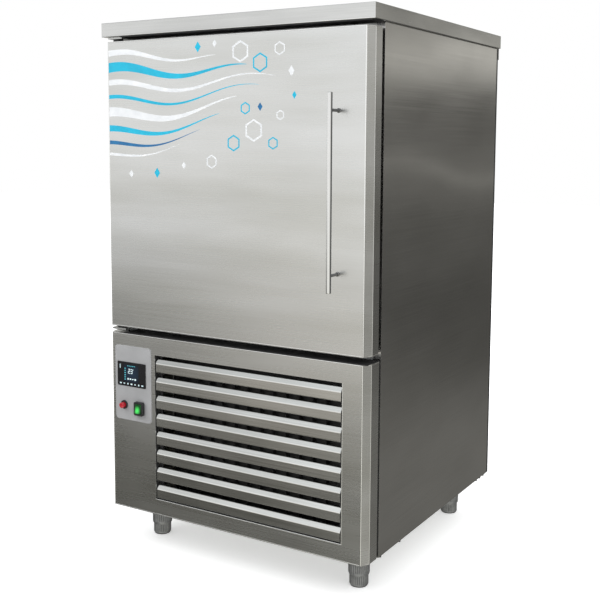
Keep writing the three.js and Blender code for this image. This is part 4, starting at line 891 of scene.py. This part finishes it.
def makeControls(v):
    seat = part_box("control_plate")[0].y - v["seat"]
    low, high, (x, _, z), (wide, _, tall) = boxOf("display_module")
    rim = v["glassRim"]
    body = [(rim, high.y), (rim, seat), (0.0, seat)]
    levels = np.concatenate([body, edgeLevels(seat, low.y, v["glassEdge"])[1:]])
    glass = stacked((x, z), (wide, tall), v["glassCorner"], levels)
    addPiece("display_glass_round", glass, "display_glass", "cabinet", "display_module")

    low, high, (x, _, z), (wide, _, tall) = boxOf("switch_bezel")
    rim, well = v["bezelRim"], v["well"]
    outer = edgeLevels(seat, low.y, v["bezelEdge"])
    inner = (outer[::-1] * [-1, 1] + [well, 0])[:-1]
    inner = inner[inner[:, 0] > well - v["wellLip"]]
    floor = [[well, low.y + v["wellDepth"]]]
    levels = np.concatenate([[[rim, high.y], [rim, seat]], outer, inner, floor])
    bezel = stacked((x, z), (wide, tall), v["bezelCorner"], levels)
    addPiece("switch_bezel_round", bezel, "black_plastic", "cabinet", "switch_bezel")

    # Rocker: dished over its pivot, y = face + dish (1 - sqrt((z / half)^2 + soft)), rim rounded.
    half = v["rockerHalf"]
    first, left, rings = v["rockerRings"]
    flat = np.stack([np.linspace(first, half[0] - left, rings), np.zeros(rings)], -1)
    levels = np.concatenate([v["rockerSkirt"], edgeLevels(0, 0, v["rockerEdge"])[1:], flat])
    depth, soft = v["rockerDish"]

    def dish(across, up):
        return depth * (1 - np.sqrt((up / half[1]) ** 2 + soft)) + v["rockerFace"]

    rocker = stacked((x, 0), (2 * half[0], 2 * half[1]), v["rockerCorner"], levels, 6, dish)
    pivotY, pivotZ = v["rockerPivot"]
    rocker = turnAbout(moved(rocker, (0, 0, pivotZ)), "X", v["rockerRest"], (x, pivotY, pivotZ))
    addPiece("rocker_cap", rocker, "green_lens", "rocker_switch", "rocker_switch", 50)

    low, high, (x, _, z), size = boxOf("button_collar")
    radius, bevel = size[2] / 2, v["collarBevel"]
    hole = radius - v["collarWall"]
    rim = roundedRim(radius, low.y, v["collarEdge"])
    lip = [[hole + bevel, low.y], [hole, low.y + bevel]]
    ring = np.concatenate([[[hole, high.y], [radius, high.y]], rim, lip])
    collar = turned(ring, (x, 0, z), "Y", 56, closed=True)
    addPiece("button_collar_round", collar, "black_plastic", "cabinet", "button_collar", 45)

    low, high, _, size = boxOf("reset_button")
    radius, (first, left, rings) = size[2] / 2, v["buttonRings"]
    r = np.linspace(radius - v["buttonEdge"] - first, left, rings)
    cap = np.stack([r, low.y + v["buttonDish"] * (1 - (r / r[0]) ** 2)], -1)
    skirt = [[radius, high.y], [radius, low.y + v["buttonSkirt"]]]
    button = np.concatenate([skirt, roundedRim(radius, low.y, v["buttonEdge"]), cap])
    button = turned(button, (x, 0, z), "Y")
    addPiece("reset_button_round", button, "red_plastic", "reset_button", "reset_button", 50)


makeControls(controls)
print("controls made")


picture = {
    "digits": "23",
    "digitSize": (5.6 * mm, 11 * mm),
    "digitAt": (0.46, 0.63),  # centre, as shares of the glass
    "digitGap": 8.0 * mm,
    "stroke": 1.5 * mm,
    "corner": 0.35,  # corners are in mm throughout
    "proud": 0.12 * mm,
    "sunk": 0.05 * mm,
    "degree": (1.6 * mm, 1.0 * mm, 2.2 * mm, 1.05),  # beside, below the digits' top, size, corner
    "screen": (0.49, 0.53, 0.52, 0.72, 1.5),  # centre and size as shares, corner
    "rows": [  # look, first place and step as shares, count, widths and heights in mm, corner
        ("cyan_light", (0.37, 0.845), (0.06, 0), 5, (3.4,), (1.5,), 0.35),
        ("cyan_light", (0.275, 0.28), (0, 0.09), 6, (4.4, 4.05, 3.7), (2.0,), 0.35),
        ("white_light", (0.10, 0.80), (0, 0), 1, (2.2,), (11,), 0.35),
        ("white_light", (0.38, 0.31), (0.085, 0), 4, (4.5, 5.5), (4.6, 3.8, 3.0), 1.0),
        ("white_light", (0.115, 0.105), (0.128, 0), 7, (6.2, 5.1, 4.0), (3.5, 2.8, 4.2), 1.2),
    ],
}
strokesOn = {"2": "abged", "3": "abgcd"}


def makePicture(v):
    low, _, _, (wide, _, tall) = boxOf("display_module")
    back, front = low.y + v["sunk"], low.y - v["proud"]

    def place(across, up):
        return low.x + wide * across, low.z + tall * up

    def bar(x, z, width, height, corner):
        return stacked((x, z), (width, height), corner * mm, [(0, back), (0, front)], 3)

    w, h = v["digitSize"]
    s = v["stroke"]
    parts = {
        "a": (0, h / 2, w, s), "g": (0, 0, w, s), "d": (0, -h / 2, w, s),
        "b": (w / 2, h / 4, s, h / 2), "c": (w / 2, -h / 4, s, h / 2),
        "e": (-w / 2, -h / 4, s, h / 2),
    }
    bars = {"white_light": [], "cyan_light": []}
    x0, z0 = place(*v["digitAt"])
    for number, digit in enumerate(v["digits"]):
        shift = (number - (len(v["digits"]) - 1) / 2) * v["digitGap"]
        for x, z, *size in (parts[key] for key in strokesOn[digit]):
            bars["white_light"].append(bar(x0 + shift + x, z0 + z, *size, v["corner"]))
    beside, below, size, corner = v["degree"]
    degree = bar(x0 + v["digitGap"] + beside, z0 + h / 2 - below, size, size, corner)
    bars["white_light"].append(degree)
    for look, (x, z), (stepX, stepZ), count, widths, heights, corner in v["rows"]:
        for k in range(count):
            size = widths[k % len(widths)] * mm, heights[k % len(heights)] * mm
            bars[look].append(bar(*place(x + stepX * k, z + stepZ * k), *size, corner))
    addPiece("display_marks_white", joined(*bars["white_light"]), "white_light", "cabinet")
    addPiece("display_marks_cyan", joined(*bars["cyan_light"]), "cyan_light", "cabinet")
    across, up, width, height, corner = v["screen"]
    levels = [(0, back), (0, low.y - v["sunk"])]
    screen = stacked(place(across, up), (wide * width, tall * height), corner * mm, levels)
    addPiece("display_screen_field", screen, "screen_blue", "cabinet")


makePicture(picture)
print("display picture made")


feet = {
    "flutes": 28,
    "stepsPerFlute": 8,
    "sleeveFlute": 1.3 * mm,
    "footFlute": 1.2 * mm,
    "wall": 1.6 * mm,
    "toe": 2.4 * mm,
    "pad": (21.5 * mm, 2.6 * mm, 0.8 * mm, 0.1 * mm),  # radius, height, edge, reach into the foot
    "ceiling": 0.0728,
    "sleeveLow": [(1.1, 0, 0), (0.7, 0.5, 0), (0, 4, 0), (0, 5.5, 0.2), (0, 8, 1)],
    "sleeveHigh": [(0, 4, 1), (0, 2, 0.2), (0, 0.5, 0), (0.5, 0, 0)],  # down from its upper end
    "footLow": [(0, 1, 0.3), (0, 3, 1)],  # up from the toe
    "footHigh": [(0, 27, 1), (0, 29, 0.2), (0, 30, 0)],
}


def makeFeet(v):
    flutes, steps = v["flutes"], v["flutes"] * v["stepsPerFlute"]
    padRadius, padTall, padEdge, padReach = v["pad"]
    for corner in ("front_left", "front_right", "rear_left", "rear_right"):
        name = "foot_sleeve_" + corner
        low, high, (x, y, _), size = boxOf(name)
        radius = size[0] / 2
        bore = radius - v["wall"]
        profile = [(bore, v["ceiling"], 0), (bore, low.z, 0)]
        profile += profileRows(v["sleeveLow"], radius, low.z)
        profile += profileRows(v["sleeveHigh"], radius, high.z, -1)
        sleeve = turned(profile, (x, y, 0), "Z", steps, flutes, v["sleeveFlute"])
        addPiece(name + "_fluted", sleeve, "foot_grey", "cabinet", name, 50)
        name = "foot_" + corner
        low, high, _, size = boxOf(name)
        radius, toe = size[0] / 2, v["toe"]
        profile = [(*row, 0) for row in roundedEnd(radius, padTall, toe)]
        profile += profileRows(v["footLow"], radius, padTall + toe)
        profile += profileRows(v["footHigh"], radius, low.z) + [(radius, high.z, 0)]
        foot = turned(profile, (x, y, 0), "Z", steps, flutes, v["footFlute"])
        addPiece(name + "_round", foot, "foot_grey", name, name, 50)
        pad = [(padRadius - padEdge, 0), (padRadius, padEdge), (padRadius, padTall + padReach)]
        addPiece(name + "_pad", turned(pad, (x, y, 0)), "black_rubber", name, "", 50)


makeFeet(feet)
print("feet made")


strips = {
    "ribs": 3,
    "ribDepth": 0.5 * mm,
    "depth": (1.2 * mm, 1 * mm),  # inside the door's face and the panel's back
    "bracketGap": 1 * mm,
    "head": (1.3447, 2.4 * mm),  # height and thickness
    "sill": (0.1 * mm, 1.8 * mm, 1.5 * mm),  # above the panel, thickness, short of its side
    "coil": (3 * mm, 14 * mm, 0.1 * mm, 0.3 * mm),  # setback, depth, and gaps below and above
}


# Flat strip with shallow ribs along x, between y back and front: z = level + d (1 - cos) / 2.
def ribbedStrip(name, x, y, z, thick, way, v):
    ribs = v["ribs"]
    across = np.linspace(y[0], y[1], 8 * ribs + 1)
    share = np.linspace(0, 2 * np.pi * ribs, len(across))
    face = z + way * (thick - v["ribDepth"] * (1 - np.cos(share)) / 2)
    loop = np.concatenate([np.stack([across, face], -1), [[y[1], z], [y[0], z]]])
    addPiece(name, skin(drawn(loop, x, 0)), "black_rubber", "cabinet")


def makeStrips(v):
    door, panel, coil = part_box("door_skin"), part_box("front_panel"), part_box("condenser_coil")
    y = door[0].y + v["depth"][0], panel[1].y - v["depth"][1]
    ends = [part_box(end + "_hinge_bracket")[1].x for end in ("upper", "lower")]
    upper, lower = [x + v["bracketGap"] for x in ends]
    under, thick = v["head"]
    # A black strip in the gap above the door: painted shade.
    ribbedStrip("head_gap_shade_strip", (upper, door[1].x), y, under, thick, -1, v)
    above, thick, short = v["sill"]
    # and one in the gap under the door: painted shade.
    ribbedStrip("sill_gap_shade_strip", (lower, panel[1].x - short), y, panel[1].z + above, thick, 1, v)
    setback, deep, below, above = v["coil"]
    front, z = coil[0].y + setback, coil[1].z + below
    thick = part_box("insulation_body")[0].z - above - z
    x = coil[0].x, coil[1].x
    y = front, front + deep
    ribbedStrip("coil_top_seal", x, y, z, thick, 1, v)  # so no air passes over the coil


makeStrips(strips)


gasket = {
    "width": 22 * mm,
    "corner": 9 * mm,
    "folds": 2,
    "foldDepth": 1.6 * mm,
    "steps": 17,
    "base": [(0, 0), (0, 2), (0.8, 2.8)],  # inset and depth in mm, both sides
    "bellows": (3.2 * mm, 3 * mm, 4.2 * mm),  # inset, start, depth left for base and bead
    "bead": [(3.0, 0.5), (4.5, 0)],  # inset and distance from the back in mm, both sides
}


# Gasket: base, two-fold bellows and magnet bead, one closed profile of (inset, y) carried round.
def makeGasket(v):
    low, high, (x, _, z), (wide, deep, tall) = boxOf("door_gasket")
    inset, start, left = v["bellows"]
    s = np.linspace(0, 1, v["steps"])
    swell = v["foldDepth"] * (1 - np.cos(2 * np.pi * v["folds"] * s)) / 2
    side = np.concatenate([
        [(cut * mm, low.y + along * mm) for cut, along in v["base"]],
        np.stack([inset - swell, low.y + start + (deep - left) * s], -1),
        [(cut * mm, high.y - along * mm) for cut, along in v["bead"]],
    ])
    profile = np.concatenate([side, side[::-1] * [-1, 1] + [v["width"], 0]])
    ring = stacked((x, z), (wide, tall), v["corner"], profile, 6, None, True)
    addPiece("door_gasket_bellows", ring, "black_rubber", "door", "door_gasket", 50)


makeGasket(gasket)
print("seals made")


fans = {
    "blades": 5,
    "spread": 0.40,  # half angle of a blade at its root, radians
    "spreadAlong": (1.05, 0.35, 0.25),
    "sweep": 0.30,
    "twist": (0.62, 0.36),  # pitch at root and tip, radians
    "thick": 1.8 * mm,
    "thinning": 0.6,
    "margin": 1.5 * mm,
    "grid": (14, 13),
    "root": 2 * mm,  # inside the hub
    "nose": 5 * mm,
    "bore": (8 * mm, 7 * mm, 5 * mm, 0.8 * mm),  # radii at back, front and inside, depth
    "hubs": {
        "evaporator_fan_lower": 30 * mm,
        "evaporator_fan_upper": 30 * mm,
        "condenser_fan": 36 * mm,
    },
    "evaporatorTip": 0.1158,
    "condenserAt": (0.045, 0.2991),
}


# Twisted blade: a = sweep s^1.5 + spread(s) u, with s along the blade and u across it, and
# y = middle + reach tanh(r spread u tan(pitch(s)) / reach), with its two faces half a
# thickness from that surface.
def fanWheel(x, z, front, back, hub, tip, v):
    rows, columns = v["grid"]
    share, u = np.meshgrid(np.linspace(0, 1, rows), np.linspace(-1, 1, columns), indexing="ij")
    root, nose = v["root"], v["nose"]
    r = (hub - root) + (tip - hub + root) * share
    start, less, more = v["spreadAlong"]
    spread = v["spread"] * (start - less * share + more * share**2)
    pitch = v["twist"][0] + (v["twist"][1] - v["twist"][0]) * share
    middle = (front + back) / 2
    reach = (back - front) / 2 - v["margin"] - v["thick"]
    rise = reach * np.tanh(r * spread * u * np.tan(pitch) / reach)
    angle = v["sweep"] * share**1.5 + spread * u
    thick = v["thick"] * (1 - v["thinning"] * u**2) / 2
    shapes = []
    for k in range(v["blades"]):
        a = angle + 2 * np.pi * k / v["blades"]
        flat = [x + r * np.cos(a), z + r * np.sin(a)]
        faces = [np.stack([flat[0], middle + rise + way * thick, flat[1]], -1) for way in (-1, 1)]
        shapes.append(skin(np.concatenate([faces[0], faces[1][:, ::-1]], 1)))
    backBore, frontBore, inside, deep = v["bore"]
    start, end = [[inside, front + deep], [frontBore, front]], [[hub, back], [backBore, back]]
    profile = np.concatenate([start, roundedEnd(hub, front, nose), end])
    shapes.append(turned(profile, (x, 0, z), "Y"))
    return joined(*shapes)


def makeFans(v):
    for name, hub in v["hubs"].items():
        low, high, (_, _, z), size = boxOf(name)
        x, tip = 0.0, v["evaporatorTip"]
        if name == "condenser_fan":
            (x, z), tip = v["condenserAt"], size[2] / 2
        wheel = fanWheel(x, z, low.y, high.y, hub, tip, v)
        addPiece(name + "_wheel", wheel, "fin_aluminium", name, name, 40)


makeFans(fans)
print("fans made")


screws = {
    "head": 4.2 * mm,
    "dome": 1.9 * mm,
    "domeTurn": 1.12,
    "rootDepth": 0.3 * mm,
    "socket": 1.7 * mm,
    "socketDepth": 1.3 * mm,
    "steps": 36,
    "backY": 0.408,
    "places": [  # x on both sides, heights
        (0.355, (0.60, 0.84, 1.08, 1.285)),
        (0.12, (0.594,)),
        (0.355, (0.13, 0.35, 0.566)),
        (0.12, (0.12,)),
        (0.12, (0.568,)),
    ],
    "glandNeck": 0.7,
    "glandRib": (96, 16, 0.6 * mm),  # steps, ribs, depth
    "glandWall": 0.3 * mm,
    "glandBody": [(0, 0, 0), (0, 0.4, 1), (0, 5.2, 1), (0.8, 6, 0), (2.4, 6.2, 0), (2.6, 7, 1)],
    "glandNut": [(3.0, 3, 1), (4.2, 0.6, 0), (5.2, 0, 0), (8.4, 0, 0), (9.0, 1, 0), (9.2, 6, 0)],
}


# Button head with a six-sided socket: the socket's radius is w / cos(a mod 60 - 30 degrees).
def buttonScrew(x, z, v):
    steps, head, dome, most = v["steps"], v["head"], v["dome"], v["domeTurn"]
    a = np.linspace(0, 2 * np.pi, steps, endpoint=False)
    t = np.linspace(0, 1.0, 6)[:, None] * most + 0 * a
    sixSided = v["socket"] / np.cos(np.mod(a, np.pi / 3) - np.pi / 6)
    radius = np.concatenate([np.full((1, steps), head), head * np.cos(t), [sixSided, sixSided]])
    height = np.concatenate([
        np.full((1, steps), -v["rootDepth"]),
        dome * np.sin(t) / np.sin(most),
        np.full((1, steps), dome),
        np.full((1, steps), dome - v["socketDepth"]),
    ])
    return skin(np.stack([x + radius * np.cos(a), v["backY"] + height, z + radius * np.sin(a)], -1))


def makeScrews(v):
    places = [(side * x, z) for x, rows in v["places"] for side in (-1, 1) for z in rows]
    heads = joined(*[buttonScrew(x, z, v) for x, z in places])
    addPiece("rear_panel_screws", heads, "polished_steel", "cabinet", "", 40)
    low, high, (x, _, z), size = boxOf("cable_gland")
    radius, wall = size[2] / 2, v["backY"] + v["glandWall"]
    neck = radius * v["glandNeck"]
    body = [(neck, low.y, 0), (neck, wall, 0)] + profileRows(v["glandBody"], radius, wall)
    body += profileRows(v["glandNut"], radius, high.y, -1)
    gland = turned(body, (x, 0, z), "Y", *v["glandRib"])
    addPiece("cable_gland_ribbed", gland, "black_plastic", "cabinet", "cable_gland", 45)


makeScrews(screws)
print("screws made")


# Bright steel bars along the folds of the door, the lower panel, the grille's mouth and the
# worktop: painted highlights where the bends catch the light.
foldHighlightBeads = {
    "radius": 1.8 * mm,
    "proud": 0.25 * mm,
    "chamfer": (12 * mm, 22 * mm),  # across and back, of door and lower panel
    "nearShare": 0.59,  # of the inset, where the chamfer meets the front
    "farShare": 0.25,
    "soft": 2 * mm,
    "mouth": (-0.2305, 0.321, 0.147, 0.530),
    "mouthRadius": 1.3 * mm,
    "topRadius": 1.6 * mm,
    "topHeight": 1.345,
}


# Round bar along a path: centre + r (n cos a + b sin a), with n and b square to the path.
def roundBar(path, radius, steps=10):
    path = np.asarray(path, float)
    ahead = np.gradient(path, axis=0)
    ahead /= np.linalg.norm(ahead, axis=1, keepdims=True)
    up = np.where(np.abs(ahead[:, 2:]) > 0.9, [[0.0, 1.0, 0.0]], [[0.0, 0.0, 1.0]])
    n = np.cross(ahead, up)
    n /= np.linalg.norm(n, axis=1, keepdims=True)
    b = np.cross(n, ahead)
    a = np.linspace(0, 2 * np.pi, steps, endpoint=False)[None, :, None]
    return skin(path[:, None] + radius * (n[:, None] * np.cos(a) + b[:, None] * np.sin(a)))


# Painted highlight bars along a skin's folds: both bends of each chamfer, and the outline at top
# and bottom.
def foldHighlightBars(low, high, v):
    radius, (across, back) = v["radius"], v["chamfer"]
    inset = radius - v["proud"]
    levels = (low.z + inset, (low.z + high.z) / 2, high.z - inset)
    shapes = []
    for side in (-1, 1):
        x = high.x if side > 0 else low.x
        near = (x - side * (across + v["nearShare"] * inset), low.y + inset)
        far = (x - side * inset, low.y + back + v["farShare"] * inset)
        shapes += [roundBar([(*corner, z) for z in levels], radius) for corner in (near, far)]
    half, front = high.x - inset, low.y + inset
    ends = [(half, high.y - inset), (half, low.y + back), (half - across, front)]
    outline = [(-x, y) for x, y in ends] + [(0, front)] + ends[::-1]
    for z in (levels[0], levels[-1]):
        path = [(*corner, z) for corner in outline]
        shapes.append(roundBar(softened(path, v["soft"], 3), radius))
    return joined(*shapes)


def makeFoldHighlights(v):
    for name, body in (("door_skin", "door"), ("front_panel", "cabinet")):
        lines = foldHighlightBars(*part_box(name), v)
        addPiece(name + "_fold_highlights", lines, "fold_steel", body, "", 60)
    left, right, bottom, top = v["mouth"]
    radius = v["mouthRadius"]
    out = radius - v["proud"]
    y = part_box("front_panel")[0].y + out
    low = [(x, y, bottom - out) for x in (left - out, 0, right + out)]
    side = [(right + out, y, z) for z in (bottom - out, (bottom + top) / 2, top)]
    mouth = joined(roundBar(low, radius), roundBar(side, radius))
    addPiece("grille_mouth_highlights", mouth, "fold_steel", "cabinet", "", 60)
    low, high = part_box("worktop")
    inset = v["topRadius"] - v["proud"]
    y, z = low.y + inset, v["topHeight"] + inset
    line = roundBar([(x, y, z) for x in (low.x + inset, 0, high.x - inset)], v["topRadius"])
    addPiece("worktop_fold_highlight", line, "fold_steel", "cabinet", "", 60)


makeFoldHighlights(foldHighlightBeads)
print("fold lines made")


edges = {
    "strip": (0.35 * mm, 8 * mm, 3 * mm),  # black strip standing in for the shade at the rear fold, painted shade: how proud, how deep, fold
    "stripSunk": (0.2 * mm, 0.3 * mm, 0.1 * mm),
    "stripEnds": (0.5 * mm, 0.4 * mm),
    "nubs": (-0.296, -0.19, 0.325, 0.352, 0.38),  # screws under the bottom edge, along y
    "nubInset": 3.8 * mm,
    "nub": (3.4 * mm, 5.0 * mm),
    "nubTop": 0.1 * mm,
    "nubShape": [(1, 0.7), (0.8, 0.93), (0.4, 1)],  # shares of radius and height
}


def makeEdges(v):
    proud, deep, fold = v["strip"]
    sunk, slant, gap = v["stripSunk"]
    radius, tall = v["nub"]
    profile = [(radius, v["nubTop"])] + [(radius * a, -b * tall) for a, b in v["nubShape"]]
    shapes, nubs = [], []
    for name, side in (("side_panel_left", -1), ("side_panel_right", 1)):
        low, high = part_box(name)
        x = high.x if side > 0 else low.x
        # Black strip folded over the edge, painted shade for the dark rear fold: an L in (x, y)
        # drawn up z.
        loop = [
            (x - side * sunk, high.y - deep), (x + side * proud, high.y - deep + slant),
            (x + side * proud, high.y + proud), (x - side * fold, high.y + proud),
            (x - side * fold, high.y + gap), (x - side * sunk, high.y + gap),
        ]
        ends = (low.z + v["stripEnds"][0], high.z - v["stripEnds"][1])
        shapes.append(skin(drawn(loop, ends, 2)))
        nub = turned(profile, (x - side * v["nubInset"], 0, low.z), "Z", 20)
        nubs += [moved(nub, (0, y, 0)) for y in v["nubs"]]
    addPiece("rear_edge_shade_strips", joined(*shapes), "black_plastic", "cabinet")
    addPiece("base_screws", joined(*nubs), "black_paint", "cabinet")


makeEdges(edges)
print("edges made")


film = {
    "back": -0.3769,
    "proud": 0.22 * mm,
    "left": -0.3715,
    "steps": (90, 0.998),
    "swell": (0.7, 0.3, 3),
    "colours": {
        "white_film": {
            "waves": [  # start height, end x, swing, length, phase, slope, half width
                (1.302, -0.030, 0.009, 0.31, 0.4, -0.06, 0.0075),
                (1.228, 0.140, 0.015, 0.41, 1.2, 0.02, 0.0070),
                (1.154, 0.030, 0.017, 0.42, 1.7, 0.08, 0.0120),
                (1.046, -0.140, 0.011, 0.36, 2.5, 0.13, 0.0035),
            ],
            "cells": [  # x, z, size, line width
                (0.040, 1.290, 0.026, 0.0048), (0.150, 1.292, 0.016, 0.0034),
                (0.078, 1.105, 0.027, 0.0048), (-0.045, 1.030, 0.017, 0.0036),
                (0.152, 1.140, 0.012, 0.0030),
            ],
            "lozenges": [  # x, z, half width, half height
                (-0.035, 1.312, 0.006, 0.009), (0.182, 1.240, 0.008, 0.012),
                (-0.300, 0.996, 0.007, 0.010), (-0.130, 1.020, 0.006, 0.009),
            ],
        },
        "cyan_film": {
            "waves": [
                (1.266, 0.060, 0.013, 0.37, 0.9, -0.02, 0.0125),
                (1.192, 0.095, 0.016, 0.41, 1.45, 0.05, 0.0050),
                (1.112, -0.020, 0.016, 0.41, 1.95, 0.10, 0.0080),
            ],
            "cells": [
                (0.096, 1.262, 0.023, 0.0042), (0.054, 1.157, 0.015, 0.0036),
                (0.020, 1.075, 0.020, 0.0040), (0.132, 1.075, 0.015, 0.0034),
            ],
            "lozenges": [
                (-0.085, 1.306, 0.009, 0.013), (0.190, 1.185, 0.006, 0.009),
                (-0.215, 1.0, 0.009, 0.013),
            ],
        },
        "deep_film": {
            "waves": [(1.076, -0.080, 0.014, 0.39, 2.2, 0.12, 0.0050)],
            "lozenges": [(0.096, 1.160, 0.007, 0.010)],
        },
    },
}


# Ribbon between z = mid(x) + w(x) and mid(x) - w(x), from the left edge on, with
# mid = start + swing (sin(2 pi x / length + phase) - sin(phase)) + slope x and
# w = half width sqrt(1 - s) (0.7 + 0.3 cos(3 s)).
def filmWave(start, endX, swing, length, phase, slope, half, v):
    count, last = v["steps"]
    plain, more, turns = v["swell"]
    s = np.linspace(0, last, count)
    x = (endX - v["left"]) * s
    turn = 2 * np.pi * x / length + phase
    middle = start + swing * (np.sin(turn) - math.sin(phase)) + slope * x
    w = half * np.sqrt(1 - s) * (plain + more * np.cos(turns * s))
    back, front = v["back"], v["back"] - v["proud"]
    ways = ((1, front), (-1, front), (-1, back), (1, back))
    sides = [np.stack([v["left"] + x, 0 * s + y, middle + way * w], -1) for way, y in ways]
    return skin(np.stack(sides, 1))


# Six-sided ring: an outline and the same outline drawn in, both carried round.
def filmCell(x, z, size, line, v):
    a = np.arange(6) * np.pi / 3 + np.pi / 6
    sides = np.stack([np.cos(a), np.sin(a)], -1)
    outer, inner = [np.array([x, z]) + reach * sides for reach in (size, size - line)]
    back, front = v["back"], v["back"] - v["proud"]
    rings = [drawn(outer, (back, front), 1), drawn(inner, (front, back), 1)]
    return skin(np.concatenate(rings), True)


def filmLozenge(x, z, wide, tall, v):
    corners = [(x + wide, z), (x, z + tall), (x - wide, z), (x, z - tall)]
    return skin(drawn(corners, (v["back"], v["back"] - v["proud"]), 1))


filmShapes = {"waves": filmWave, "cells": filmCell, "lozenges": filmLozenge}


def makeFilm(v):
    for colour, kinds in v["colours"].items():
        pieces = [filmShapes[kind](*row, v) for kind, rows in kinds.items() for row in rows]
        addPiece("door_" + colour, joined(*pieces), colour, "door")


makeFilm(film)
print("door film made")
